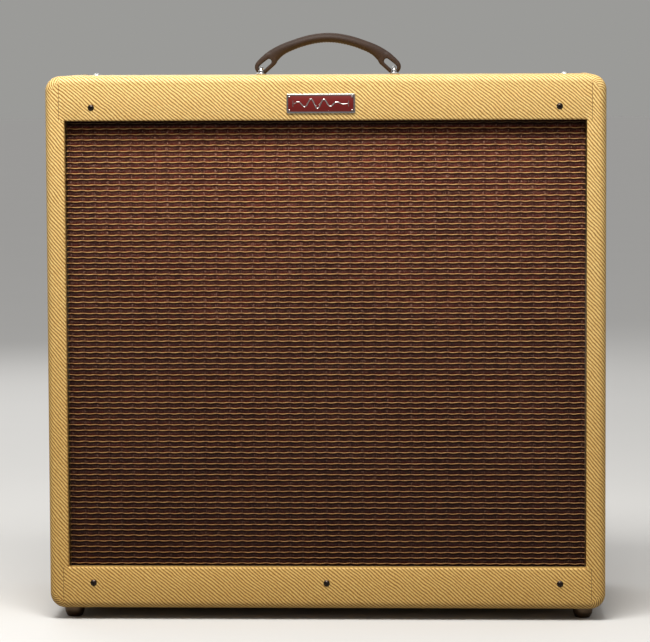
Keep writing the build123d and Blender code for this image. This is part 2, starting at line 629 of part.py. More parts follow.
JEWEL = [(8.0, 5.3), (7.5, 8.0), (5.0, 11.0), (2.2, 12.2)]       # radius, height of each ring
jewel = rod_z(0, 0, 0.6, 5.4, 6.9)
for ring_pair in zip(JEWEL, JEWEL[1:]):
    jewel += loft([Plane.XY.offset(z) * RegularPolygon(radius, 10) for radius, z in ring_pair])
save("pilot_lamp_jewel", on_panel(PILOT_X) * jewel)

holder = rod_z(0, 0, -42.0, 0.2, 6.4) + rod_z(0, 0, 0, 1.6, 9.2)
holder = holder - rod_z(0, 0, -40.0, 3.0, 4.2)
# Side and end terminals
holder += brick(-1.5, 1.5, 4.5, 11.0, -30.0, -29.2) + brick(-0.4, 0.4, -1.5, 1.5, -48, -41)
save("fuse_holder", on_panel(FUSE_X) * holder)

FLUTES = 18
fuse_cap = rod_z(0, 0, 1.9, 10.5, 7.4)
fuse_cap = chamfer(fuse_cap.faces().sort_by(Axis.Z)[-1].edges(), 0.9)
fuse_cap = fuse_cap - [
    Rot(0, 0, 360 / FLUTES * i) * Pos(7.6, 0, 6.4) * Cylinder(0.55, 9.4) for i in range(FLUTES)
]
fuse_cap = fuse_cap - brick(-4.5, 4.5, -0.6, 0.6, 9.6, 11)
fuse_cap += rod_z(0, 0, -30.0, 2.4, 3.3) + rod_z(0, 0, -3.0, 2.4, 4.0)
save("fuse_cap", on_panel(FUSE_X) * fuse_cap)

# ---------------------------------------------------------------- valves, hung from the chassis
OCTAL_DROP, NOVAL_DROP = 7.0, 5.0    # socket depth below the chassis
BASE_H = 22.0
RECTIFIER = (62.0, 18.5)             # glass height, radius
OUTPUT_VALVE = (72.0, 19.0)
NOVAL_H = 50.0
PIN_CIRCLE_R = 10.0


def octal_socket():
    socket = rod_z(0, 0, -OCTAL_DROP, 5, 14.0) + rod_z(0, 0, -2, 0, 17.0)
    for i in range(8):
        angle = math.radians(45 * i + 22.5)
        x, y = PIN_CIRCLE_R * math.cos(angle), PIN_CIRCLE_R * math.sin(angle)
        socket += brick(x - 1, x + 1, y - 0.4, y + 0.4, 4.5, 10)
    return socket


def octal_glass(h, r):
    """Hollow envelope of height h and radius r, hanging from z = 0."""
    outside = [
        (0, 0), (14.0, 0), (15.0, -3), (r, -12), (r, -h + 14),
        (r - 3.0, -h + 6), (r - 9.0, -h + 1), (0, -h),
    ]
    inside = [
        (0, -1.0), (13.2, -1.0), (14.2, -3.6), (r - 0.9, -12.4), (r - 0.9, -h + 14.3),
        (r - 3.7, -h + 6.9), (r - 9.4, -h + 2.0), (0, -h + 1.0),
    ]
    return revolve_z(outside) - revolve_z(inside)


def octal_electrodes(height):
    plates = fillet(Box(24, 14, height * 0.52).edges().filter_by(Axis.Z), 4.0)
    plates = plates + Pos(0, 0, height * 0.27) * Cylinder(15.5, 0.8)
    plates = plates + Pos(0, 0, -height * 0.27) * Cylinder(14.5, 0.8)
    return Pos(0, 0, -height / 2 + 1) * plates


def noval_glass(h):
    outside = [
        (0, 0), (9.6, 0), (10.8, -2), (10.8, -h + 10),
        (8.6, -h + 6), (3.0, -h + 3.6), (1.4, -h), (0, -h),
    ]
    inside = [
        (0, -1.0), (9.0, -1.0), (10.0, -2.4), (10.0, -h + 10.2),
        (8.0, -h + 6.9), (2.6, -h + 4.6), (0, -h + 4.2),
    ]
    return revolve_z(outside) - revolve_z(inside)


def noval_electrodes():
    plates = Pos(-3.9, 0, 0) * Box(6.4, 7, 22) + Pos(3.9, 0, 0) * Box(6.4, 7, 22)
    for z in (11.6, -11.6):
        plates = plates + Pos(0, 0, z) * Cylinder(9.2, 0.7)
    return Pos(0, 0, -22) * plates


# Split ring around the base, open at the back
retainer = rod_z(0, 0, -12, -2, 17.8) - rod_z(0, 0, -13, -1, 16.7) - brick(-2, 2, 12, 22, -13, -1)
sockets, bases, envelopes, electrodes, retainers = [], [], [], [], []
for x, (height, radius) in zip(OCTAL_X, (RECTIFIER, OUTPUT_VALVE, OUTPUT_VALVE)):
    base_top = Pos(x, SOCKET_Y, CH_Z - OCTAL_DROP)
    glass_top = Pos(x, SOCKET_Y, CH_Z - OCTAL_DROP - BASE_H)
    sockets.append(Pos(x, SOCKET_Y, CH_Z) * octal_socket())
    bases.append(base_top * rod_z(0, 0, -BASE_H, 0, 16.6))
    envelopes.append(glass_top * octal_glass(height, radius))
    electrodes.append(glass_top * octal_electrodes(height))
    retainers.append(base_top * retainer)
for x in NOVAL_X:
    glass_top = Pos(x, SOCKET_Y, CH_Z - NOVAL_DROP)
    socket = rod_z(0, 0, -NOVAL_DROP, 4, 9.5) + rod_z(0, 0, -1.5, 0, 12.5)
    sockets.append(Pos(x, SOCKET_Y, CH_Z) * socket)
    envelopes.append(glass_top * noval_glass(NOVAL_H))
    electrodes.append(glass_top * noval_electrodes())
save("tube_sockets", sockets)
save("tube_bases", bases)
save("tube_envelopes", envelopes)
save("tube_electrodes", electrodes)
save("tube_retainers", retainers)


# ---------------------------------------------------------------- iron
def transformer(x, y, width, height, stack, bell):
    """Laminated core hung under the chassis, with a drawn bell in front and behind."""
    x0, x1, z0 = x - width / 2, x + width / 2, CH_Z - height
    solids = [brick(x0, x1, y - stack / 2, y + stack / 2, z0, CH_Z)]
    for side in SIDES:
        y0, y1 = sorted((y + side * stack / 2, y + side * (stack / 2 + bell)))
        cover = brick(x0 + 3, x1 - 3, y0, y1, z0 + 3, CH_Z - 6)
        cover = fillet(cover.edges().filter_by(Axis.Y), 10.0)
        outer_face = cover.faces().sort_by(Axis.Y)[-1 if side > 0 else 0]
        solids.append(fillet(outer_face.edges(), min(8.0, bell - 2)))
    return solids


save("power_transformer", transformer(205.0, 58.0, width=86.0, height=78.0, stack=34.0, bell=17.0))
save("output_transformer", transformer(-30.0, 58.0, width=62.0, height=56.0, stack=26.0, bell=13.0))
# Choke: core, winding ends in front and behind, mounting strap
save(
    "filter_choke",
    brick(4.0, 25.0, 50.0, 74.0, CH_Z - 32, CH_Z - 1.6),
    [brick(9.0, 20.0, y, y + 6.0, CH_Z - 28, CH_Z - 6) for y in (44.0, 74.0)],
    brick(4.0, 25.0, 40.0, 84.0, CH_Z - 1.6, CH_Z),
)

# ---------------------------------------------------------------- inside the chassis
BOARD_Y0, BOARD_Y1 = 30.0, 32.4      # circuit board faces
board = brick(-236.0, 118.0, BOARD_Y0, BOARD_Y1, 507.0, 546.0)
posts = [
    rod_y(x, z, CH_Y0 + SHEET, BOARD_Y0, 3.0) for x in (-220.0, -60.0, 102.0) for z in (512.0, 541.0)
]
save("circuit_board", board, posts)

# Radius, length and step to the next, repeated along the board
COMPONENTS = [
    (2.2, 11.0, 11.8), (4.6, 24.0, 13.4), (2.2, 11.0, 11.8), (3.6, 20.0, 11.8), (2.8, 14.0, 11.8),
]
components = []
x = -228.0
while x < 112.0:
    radius, length, step = COMPONENTS[len(components) % len(COMPONENTS)]
    y = BOARD_Y1 + radius + 0.4
    components.append(rod_z(x, y, 526.5 - length / 2, 526.5 + length / 2, radius))
    x += step
save("board_components", components)

save("filter_capacitors", [
    fillet(rod_x(y, 521.0, x, x + 46.0, 10.0).edges(), 1.2)
    for x in (124.0, 176.0)
    for y in (40.0, 82.0)
])


# ---------------------------------------------------------------- leads
def tube_along(path, radius):
    start = Plane(path @ 0, z_dir=path % 0)
    return sweep(start * Circle(radius), path=path)


LEAD_R = 1.9
lead_points = [
    [   # chassis to the upper left speaker
        (LEAD_X, LEAD_Y, CH_Z + 3), (LEAD_X, LEAD_Y, 480.0), (-76.0, 74.0, 440.0),
        (-74.0, 40.0, 390.0), (-80.0, -20.0, 340.0), (-110.0, Y_MOUNT + 34, 309.0),
        (-130.0, Y_MOUNT + 19.0, 309.0),
    ],
    [   # upper left to upper right
        (-126.0, Y_MOUNT + 17.0, 303.0), (-60.0, Y_MOUNT + 44, 296.0), (0.0, Y_MOUNT + 52, 290.0),
        (60.0, Y_MOUNT + 44, 298.0), (124.0, Y_MOUNT + 17.0, 306.0),
    ],
]
# Upper to lower on each side
lead_points += [
    [
        (side * 136.0, Y_MOUNT + 17.0, 306.0), (side * 168.0, Y_MOUNT + 60, 280.0),
        (side * 196.0, Y_MOUNT + 92, 176.0), (side * 180.0, Y_MOUNT + 66, 88.0),
        (side * 138.0, Y_MOUNT + 17.0, 52.0),
    ]
    for side in (1, -1)
]
save("speaker_wiring", [tube_along(Spline(*points), LEAD_R) for points in lead_points])

# Power cord: drops from the chassis, then coils near the cabinet floor
CORD_R = 3.6
COIL_R, COIL_X, COIL_Y = 33.0, 196.0, 44.0
COIL_TURNS = 2.15
COIL_STEPS = int(COIL_TURNS * 8)
cord_points = [
    (CORD_X, CORD_Y, CH_Z + 6), (CORD_X, CORD_Y, 455.0),
    (262.0, 56.0, 350.0), (258.0, 62.0, 200.0), (246.0, 74.0, 90.0),
]
for i in range(COIL_STEPS + 1):
    angle = math.radians(40.0) - 2 * math.pi * COIL_TURNS * i / COIL_STEPS
    # Sinks over the first turn, rises again over the last steps
    z = 62.0 - 24.5 * min(i / 8.0, 1.0) + 8.8 * max(0, i - 14) / 3.0
    radius = COIL_R + 0.98 * max(0, i - 2)
    cord_points.append((COIL_X + radius * math.cos(angle), COIL_Y + radius * math.sin(angle), z))
cord_path = Spline(*cord_points)
cord = tube_along(cord_path, CORD_R)

PLUG = [                 # radius, height
    (0, 0.05), (4.6, 0.05), (6.2, 14.0), (11.5, 22.0),
    (13.0, 26.0), (13.0, 44.0), (12.0, 46.0), (0, 46.0),
]
plug = revolve_z(PLUG)
plug += brick(-7.2, -5.7, -3.2, 3.2, 45.0, 62.0) + brick(5.7, 7.2, -3.2, 3.2, 45.0, 62.0)
plug += rod_z(0, -7.5, 45.0, 65.0, 2.4)
cord_end = cord_path % 1
plug_plane = Plane(origin=cord_path @ 1, x_dir=(0, 0, 1), z_dir=(cord_end.X, cord_end.Y, 0))
plug = plug_plane.location * plug
grommet = rod_z(CORD_X, CORD_Y, CH_Z - 8, CH_Z, 8.0)
grommet += rod_z(CORD_X, CORD_Y, CH_Z - 0.1, CH_Z + 3.0, 6.0)
grommet = grommet - rod_z(CORD_X, CORD_Y, CH_Z - 20, CH_Z + 20, 3.75)
save("power_cord", cord - plug - grommet, plug, grommet)
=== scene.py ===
"""A tweed-covered valve guitar amplifier with four speakers behind a woven grille.

Metres, +Z up, standing on z = 0 with x = 0 in the middle. The grille faces -Y. The back
leans forward towards the top, and its two panels leave an opening between them. The controls
sit on a chassis let into the top, behind the handle, and are read from the back.
"""
import json
import math
import random

import bpy
import numpy as np
from mathutils import Matrix, Vector
from mathutils.bvhtree import BVHTree

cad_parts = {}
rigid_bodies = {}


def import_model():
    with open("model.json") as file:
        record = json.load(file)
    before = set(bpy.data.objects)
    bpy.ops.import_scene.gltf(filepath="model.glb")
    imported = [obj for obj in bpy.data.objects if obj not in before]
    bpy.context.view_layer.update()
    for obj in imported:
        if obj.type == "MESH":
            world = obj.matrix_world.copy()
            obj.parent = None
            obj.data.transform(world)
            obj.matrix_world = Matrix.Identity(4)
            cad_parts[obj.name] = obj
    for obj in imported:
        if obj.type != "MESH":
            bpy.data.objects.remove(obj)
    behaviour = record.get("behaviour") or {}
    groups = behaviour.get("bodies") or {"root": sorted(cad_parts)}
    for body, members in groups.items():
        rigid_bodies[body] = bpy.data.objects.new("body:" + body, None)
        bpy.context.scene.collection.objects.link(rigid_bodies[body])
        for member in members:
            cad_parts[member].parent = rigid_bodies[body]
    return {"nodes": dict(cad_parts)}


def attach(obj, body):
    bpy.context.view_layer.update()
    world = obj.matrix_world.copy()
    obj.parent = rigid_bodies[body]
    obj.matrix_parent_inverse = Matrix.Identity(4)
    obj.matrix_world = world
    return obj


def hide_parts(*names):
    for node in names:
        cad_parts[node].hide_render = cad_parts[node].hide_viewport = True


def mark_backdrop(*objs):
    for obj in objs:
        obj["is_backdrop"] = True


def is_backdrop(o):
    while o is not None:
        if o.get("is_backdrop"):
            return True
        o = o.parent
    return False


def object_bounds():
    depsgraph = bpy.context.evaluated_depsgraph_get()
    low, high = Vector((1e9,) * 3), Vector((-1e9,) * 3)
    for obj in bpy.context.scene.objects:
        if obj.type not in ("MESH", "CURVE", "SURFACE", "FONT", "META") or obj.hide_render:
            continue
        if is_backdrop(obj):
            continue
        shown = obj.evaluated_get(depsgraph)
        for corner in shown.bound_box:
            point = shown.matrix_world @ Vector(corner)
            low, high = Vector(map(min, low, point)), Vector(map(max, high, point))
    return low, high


for left_over in list(bpy.data.objects):
    bpy.data.objects.remove(left_over)
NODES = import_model()["nodes"]
SIZE_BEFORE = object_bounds()
rng = random.Random(11)

# ---------------------------------------------------------------- dimensions, metres
MM = 0.001
WIDTH, DEPTH, BODY_HEIGHT, FOOT_HEIGHT = 0.597, 0.267, 0.5715, 0.0127
CENTRE_Y = 0.000515
FRONT, BACK = CENTRE_Y - DEPTH / 2, CENTRE_Y + DEPTH / 2    # BACK is measured at the bottom
BOTTOM, TOP = FOOT_HEIGHT, FOOT_HEIGHT + BODY_HEIGHT
BACK_LEAN = math.atan(25.4 / 571.5)
SKIN, BOARD = 0.0008, 0.019                                 # covering and pine thicknesses
INNER_X = WIDTH / 2 - SKIN - BOARD
INNER_BOTTOM, INNER_TOP = BOTTOM + SKIN + BOARD, TOP - SKIN - BOARD
CORNER_R, FRONT_R, BACK_R = 0.016, 0.008, 0.006             # corners, front and back edges
TOP_BACK = 0.0197                                           # y where the top board ends
OPEN_TOP, OPEN_BOTTOM = 0.5365, 0.0573                      # grille opening, z

RAIL = 0.0127                                               # thickness of the front rails
RAIL_BACK = FRONT + SKIN + RAIL
BAFFLE_BACK = RAIL_BACK + 0.001 + 0.0127

CHASSIS_BOTTOM, PANEL_TOP = 0.500, 0.5639                   # chassis and control panel, z
CONTROL_Y, HANDLE_Y = 0.060, -0.050
BOARD_MID_Z = 0.5265                                        # middle of the circuit board

SPEAKER_X, SPEAKER_UPPER_Z, SPEAKER_LOWER_Z = 0.132, 0.432, 0.176
GOLD_PITCH, GOLD_REPEAT = 0.006, 0.013                      # thread rows, and duck-unders in a row


def back_y(z):
    """The leaning back of the cabinet at height z."""
    return BACK - (z - BOTTOM) * math.tan(BACK_LEAN)


# ---------------------------------------------------------------- shader graphs
def operator(kind, swapped=False):
    def apply(self, other):
        pair = (other, self) if swapped else (self, other)
        return self.graph.math(kind, *pair)
    return apply


class Value:
    """An output socket. Arithmetic on it adds Math nodes to its graph."""

    def __init__(self, graph, socket):
        self.graph = graph
        self.socket = socket

    __add__, __radd__ = operator("ADD"), operator("ADD", swapped=True)
    __sub__, __rsub__ = operator("SUBTRACT"), operator("SUBTRACT", swapped=True)
    __mul__, __rmul__ = operator("MULTIPLY"), operator("MULTIPLY", swapped=True)
    __truediv__ = operator("DIVIDE")
    __pow__ = operator("POWER")
    __gt__ = operator("GREATER_THAN")
    __lt__ = operator("LESS_THAN")

    def __abs__(self):
        return self.graph.math("ABSOLUTE", self)

    def fract(self):
        return self.graph.math("FRACT", self)

    def floor(self):
        return self.graph.math("FLOOR", self)

    def tent(self):
        """0 in the middle of each unit, 0.5 at its ends."""
        return abs(self.fract() - 0.5)


def clamp(value):
    """Limits a Math node's result to 0..1."""
    value.socket.node.use_clamp = True
    return value


class Graph:
    """Builds a node tree. An input takes a Value, a number or a tuple."""

    def __init__(self, tree):
        self.tree = tree
        tree.nodes.clear()

    def feed(self, socket, value):
        if isinstance(value, Value):
            self.tree.links.new(value.socket, socket)
        elif isinstance(value, tuple) and len(value) == 3 and socket.type == "RGBA":
            socket.default_value = (*value, 1.0)
        else:
            socket.default_value = value

    def add(self, kind, inputs=(), **settings):
        node = self.tree.nodes.new(kind)
        for name, setting in settings.items():
            setattr(node, name, setting)
        for key, value in dict(inputs).items():
            self.feed(node.inputs[key], value)
        return node

    def value(self, kind, inputs=(), output=0, **settings):
        return Value(self, self.add(kind, inputs, **settings).outputs[output])

    def math(self, operation, *values):
        return self.value("ShaderNodeMath", enumerate(values), operation=operation)

    def vector_math(self, operation, *values):
        return self.value("ShaderNodeVectorMath", enumerate(values), operation=operation)

    def scale(self, vector, factors):
        return self.vector_math("MULTIPLY", vector, factors)

    def mix(self, amount, a, b, blend="MIX"):
        inputs = {0: amount, 6: a, 7: b}
        return self.value("ShaderNodeMix", inputs, 2, data_type="RGBA", blend_type=blend)

    def multiply(self, amount, a, b):
        return self.mix(amount, a, b, blend="MULTIPLY")

    def tint(self, amount, color, factor):
        """Moves a colour towards itself times the factor."""
        return self.mix(amount, color, self.multiply(1.0, color, factor))

    def ramp(self, value, stops, interpolation="LINEAR"):
        """stops: (position, colour); a single number is a grey."""
        result = self.value("ShaderNodeValToRGB", {0: value})
        ramp = result.socket.node.color_ramp
        ramp.interpolation = interpolation
        while len(ramp.elements) > 1:
            ramp.elements.remove(ramp.elements[-1])
        ramp.elements[0].position = stops[0][0]
        for i, (position, color) in enumerate(stops):
            element = ramp.elements.new(position) if i else ramp.elements[0]
            rgb = color if isinstance(color, tuple) else (color,) * 3
            element.color = (*rgb, 1.0)
        return result

    def noise(self, vector, scale, detail=3.0, rough=0.55, distortion=0.0):
        inputs = {
            "Vector": vector, "Scale": scale, "Detail": detail,
            "Roughness": rough, "Distortion": distortion,
        }
        return self.value("ShaderNodeTexNoise", inputs)

    def white_noise(self, x, y):
        return self.value(
            "ShaderNodeTexWhiteNoise", {"Vector": self.vec(x, y)}, noise_dimensions="2D")

    def voronoi(self, vector, scale, feature):
        inputs = {"Vector": vector, "Scale": scale}
        return self.value("ShaderNodeTexVoronoi", inputs, "Distance", feature=feature)

    def coordinates(self, kind="Object"):
        return self.value("ShaderNodeTexCoord", output=kind)

    def uv_mm(self):
        """U and V in millimetres; the UV map is in metres."""
        uv = self.value("ShaderNodeUVMap", uv_map="UVMap")
        return self.xyz(self.scale(uv, (1000.0, 1000.0, 1.0)))[:2]

    def geometry(self, output):
        return self.value("ShaderNodeNewGeometry", output=output)

    def camera_ray(self):
        return self.value("ShaderNodeLightPath", output="Is Camera Ray")

    def xyz(self, vector):
        node = self.add("ShaderNodeSeparateXYZ", {0: vector})
        return [Value(self, socket) for socket in node.outputs]

    def vec(self, x, y, z=0.0):
        return self.value("ShaderNodeCombineXYZ", {0: x, 1: y, 2: z})

    def bump(self, height, distance, strength):
        inputs = {"Strength": strength, "Distance": distance, "Height": height}
        return self.value("ShaderNodeBump", inputs)


MATERIALS = {}
SHADER_INPUTS = {
    "color": "Base Color", "rough": "Roughness", "metal": "Metallic", "normal": "Normal",
    "spec": "Specular IOR Level", "sheen": "Sheen Weight", "coat": "Coat Weight",
    "coat_rough": "Coat Roughness", "transmission": "Transmission Weight", "ior": "IOR",
    "emission": "Emission Color", "emission_strength": "Emission Strength",
}


class Material(Graph):
    """A named material with one Principled shader."""

    def __init__(self, name):
        material = bpy.data.materials.new(name)
        material.use_nodes = True
        MATERIALS[name] = material
        super().__init__(material.node_tree)
        shader = self.value("ShaderNodeBsdfPrincipled")
        self.shader = shader.socket.node
        self.add("ShaderNodeOutputMaterial", {0: shader})

    def set(self, **values):
        for name, value in values.items():
            self.feed(self.shader.inputs[SHADER_INPUTS[name]], value)


def srgb(*channels):
    """Linear colour from 0..255 sRGB channels."""
    def linear(c):
        return c / 12.92 if c <= 0.04045 else ((c + 0.055) / 1.055) ** 2.4
    return tuple(linear(channel / 255.0) for channel in channels)


def times(color, factor):
    return tuple(channel * factor for channel in color)


# ---------------------------------------------------------------- cloth materials
def make_tweed():
    """Diagonal ribs in pale and brown threads, in millimetres of cloth."""
    m = Material("tweed")
    u, v = m.uv_mm()
    seam_u, stile_u = 283.5, 277.0          # from the middle: cloth seam, edge of the uprights
    rib_pitch, weft_pitch = 2.96, 1.02
    from_middle = abs(u)
    # the side cloth folds over the front and meets the rail cloth at a seam
    beside_grille = (v > OPEN_BOTTOM * 1000) * (v < OPEN_TOP * 1000)
    stile = beside_grille * (from_middle > stile_u)
    side = m.math("MAXIMUM", from_middle > seam_u, stile)
    side_shift = side * (m.math("SIGN", u) * 1.7)
    place = m.vec(u, v)
    slow_wobble = m.noise(place, scale=0.035, detail=2.0)
    quick_wobble = m.noise(place, scale=0.35, detail=2.0)

    angle = math.radians(40.0) + side * math.radians(8.5)
    sine, cosine = m.math("SINE", angle), m.math("COSINE", angle)
    ribs = (u * sine + v * cosine) / rib_pitch
    ribs = (ribs + side_shift) + (slow_wobble - 0.5) * 1.5
    ribs = ribs + (quick_wobble - 0.5) * 0.16
    # along the diagonal, each rib steps with the weft threads
    weft = (u * cosine - v * sine) / weft_pitch
    step = weft.tent()
    ribs = ribs + (step - 0.25) * 0.22
    rib = abs(ribs.fract() * 2.0 - 1.0)     # 1 at the brown line, 0 in mid rib
    line = m.ramp(rib, [(0.0, 0), (0.42, 0.05), (0.64, 0.7), (0.78, 1), (1.0, 1)])

    # colour varies thread by thread
    thread = m.white_noise((ribs * 3.0).floor(), weft.floor())
    pale = m.mix(thread, srgb(238, 201, 128), srgb(254, 230, 160))
    patches = m.noise(place, scale=0.008, detail=3.0)
    pale = m.mix(patches * 0.3, pale, srgb(226, 174, 88))
    brown = m.mix(thread, srgb(138, 92, 32), srgb(176, 124, 52))
    color = m.mix(line, pale, brown)
    gap = m.ramp(step, [(0.0, 1), (0.36, 1), (0.5, (0.74, 0.69, 0.60))])
    color = m.multiply(0.8, color, gap)
    # handling wear, then darker and more amber towards the bottom
    wear = m.noise(place, scale=0.02, detail=5.0, rough=0.6)
    grime = m.ramp(wear, [(0.0, (0.84, 0.80, 0.72)), (0.45, 1), (1.0, 1)])
    color = m.multiply(0.6, color, grime)
    z = m.xyz(m.coordinates())[2]
    amber = clamp(1.0 - z / 0.58)
    color = m.tint(amber * 0.62, color, (0.72, 0.60, 0.33))
    # a fine shadow line where the two cloths meet
    seam = abs(from_middle - seam_u) < (0.16 + quick_wobble * 0.2)
    seam = seam * (1.0 - beside_grille)
    color = m.mix(seam * 0.8, color, srgb(98, 66, 30))

    height = (1.0 - rib) * 0.7 + (0.5 - step) * 0.5
    height = height + thread * 0.12
    height = height - seam
    m.set(color=color, rough=0.46 + quick_wobble * 0.2, spec=0.32, coat=0.06, coat_rough=0.35,
          normal=m.bump(height, distance=0.00022, strength=0.8))


def cloth_fade(z):
    """Painted shade falling off down the grille: 0 at its bottom, 1 at its top."""
    return clamp((z - 0.05) / 0.5)


def top_shadow(z):
    """Shadow of the top rail on the last few millimetres of the grille."""
    return clamp((z - (OPEN_TOP - 0.0075)) * 260.0)


def make_grille_weave():
    """Open basket weave between the gold threads, in millimetres, v up."""
    m = Material("grille_weave")
    u, v = m.uv_mm()
    row_pitch, repeat = 6.0, 13.0           # gold thread rows, crossing bundles
    loop_u, loop_v = 1.3, 1.0               # one basket loop
    bundle = m.white_noise((u / 6.5).floor(), (v / row_pitch).floor())
    fleck = m.white_noise((u / 0.95).floor(), (v / 0.75).floor())
    blot = m.noise(m.vec(u, v), scale=0.11, detail=3.0, rough=0.6)
    # the crossing bundles drift sideways a little from row to row
    wave = m.math("COSINE", u * (math.tau / repeat) + (blot - 0.5) * 2.6)
    wavy_v = v + wave * 0.18
    above = (wavy_v / row_pitch).fract()    # 0 at a gold thread, rising upward
    across_loop = (u / loop_u).tent()
    along_loop = (wavy_v / loop_v).tent()
    checks = (u / loop_u).floor() + (wavy_v / loop_v).floor()
    checker = m.math("PINGPONG", checks, 1.0)
    color = m.ramp(above, [
        (0.0, srgb(128, 40, 20)), (0.14, srgb(134, 40, 24)), (0.26, srgb(116, 46, 36)),
        (0.38, srgb(114, 72, 64)), (0.54, srgb(106, 62, 52)), (0.68, srgb(82, 36, 24)),
        (1.0, srgb(70, 30, 18)),
    ])
    # scalloped shadow hanging below each gold thread
    below = 1.0 - above
    scallop = 0.30 + (wave * 0.075 + (bundle - 0.5) * 0.12)
    dark = clamp((scallop - below) * 14.0)
    dark = clamp(dark + (0.10 - above) * 8.0)
    color = m.mix(dark * 0.86, color, srgb(20, 9, 6))
    tone = 0.72 + bundle * 0.56
    color = m.multiply(1.0, color, m.vec(tone, tone, tone))
    # each loop is a small rounded pillow, with painted shade round its edges and a painted highlight
    # on its crown
    pillow = ((0.5 - across_loop) * (0.5 - along_loop)) * 4.0
    shade = m.ramp(pillow, [(0.0, (0.30, 0.27, 0.27)), (0.45, 1), (1.0, (1.30, 1.22, 1.20))])
    color = m.multiply(0.9, color, shade)
    color = m.tint(checker * 0.3, color, (0.5, 0.36, 0.36))
    # pale slubs on top of the weave and dark gaps through it
    mid_row = m.ramp(above, [(0.0, 0), (0.14, 0.25), (0.34, 1), (0.58, 1), (0.76, 0)])
    near_bundle = m.ramp(wave, [(0.0, 0.25), (0.7, 0.5), (1.0, 1)])
    slub = (fleck > 0.86) * (m.xyz(mid_row)[0] * m.xyz(near_bundle)[0])
    color = m.mix(slub * 0.62, color, srgb(196, 158, 136))
    color = m.mix((fleck < 0.22) * 0.55, color, srgb(28, 14, 12))
    # a fine upright thread crosses the rows at every bundle
    upright = ((u + (blot - 0.5) * 4.0) / repeat).tent() > 0.462
    upright = (upright * m.xyz(mid_row)[0]) * bundle ** 2.0
    color = m.mix(upright * 0.55, color, srgb(170, 140, 126))
    # painted light where the four round openings behind show through, a little lighter, with the
    # dust cap darker
    x, _, z = m.xyz(m.coordinates())
    dx = abs(x) - SPEAKER_X
    for centre_z, amount in ((SPEAKER_UPPER_Z, 0.34), (SPEAKER_LOWER_Z, 0.14)):
        dz = z - centre_z
        distance = m.math("SQRT", dx * dx + dz * dz)
        show_through_light = m.ramp(distance / 0.2, [
            (0.0, 0.12), (0.13, 0.2), (0.16, 0.7), (0.4, 0.95), (0.55, 1), (0.575, 0), (1.0, 0),
        ])
        color = m.tint(m.xyz(show_through_light)[0] * amount, color, (1.5, 1.36, 1.32))
    # painted highlight, brightest high up in the middle, and painted shade, darkest at the bottom
    fade = cloth_fade(z)
    central = clamp(1.0 - abs(x - 0.01) * 2.6)
    high = clamp((z - 0.30) * 4.2)
    lift = 0.74 + (central * high) * 0.42
    color = m.multiply(1.0, color, m.vec(lift, lift * 0.95, lift * 0.90))
    color = m.tint(1.0 - fade, color, (0.30, 0.25, 0.21))
    color = m.mix(top_shadow(z) * 0.85, color, (0.006, 0.003, 0.002))
    height = pillow * 0.8 + m.xyz(mid_row)[0] * 0.8
    m.set(color=color, rough=0.6, spec=0.10,
          normal=m.bump(height, distance=0.0005, strength=0.9))


def make_gold_thread():
    """Twisted metallic thread, with painted shade where it ducks under the weave and towards the
    bottom of the grille.
    """
    m = Material("gold_thread")
    u, v = m.uv_mm()
    twist = (u / 1.1 + v * 1.0).fract()
    mottle = m.noise(m.vec(u, v * 3.0), scale=0.16, detail=3.0)
    z = m.xyz(m.coordinates())[2]
    color = m.mix(mottle, srgb(186, 128, 62), srgb(255, 210, 136))
    color = m.mix(abs(twist - 0.5) * 0.9, color, srgb(112, 68, 28))
    # painted shade where the thread ducks under the weave
    duck_shade = m.math("COSINE", u * (math.tau / 13.0))
    color = m.mix(m.math("MAXIMUM", duck_shade, 0.0) * 0.55, color, srgb(134, 78, 38))
    # painted shade darkening towards the bottom of the grille
    color = m.tint(1.0 - cloth_fade(z), color, (0.44, 0.37, 0.28))
    color = m.mix(top_shadow(z) * 0.85, color, (0.012, 0.006, 0.003))
    m.set(color=color, rough=0.42, metal=0.15, spec=0.35,
          normal=m.bump(twist, distance=0.0002, strength=0.6))


def make_braid(name, base, tracer, pitch=0.0024):
    """Braided thread with a tracer colour."""
    m = Material(name)
    x, y, z = m.xyz(m.coordinates())
    strand = (((x + y) + z * 1.1) / pitch).tent()
    crossing = (((x + z) - y) / pitch).tent()
    weave = (strand * crossing) * 4.0
    color = m.mix(m.ramp(strand, [(0.32, 0), (0.42, 1)]), base, tracer)
    color = m.multiply(0.6, color, m.ramp(weave, [(0.0, 0.5), (0.5, 1)]))
    m.set(color=color, rough=0.75, sheen=0.1,
          normal=m.bump(weave, distance=0.0003, strength=0.8))


# ---------------------------------------------------------------- wood, leather and paper
def along(axis, long, across):
    """Scale factors that differ along one axis."""
    return tuple(long if name == axis else across for name in "XYZ")


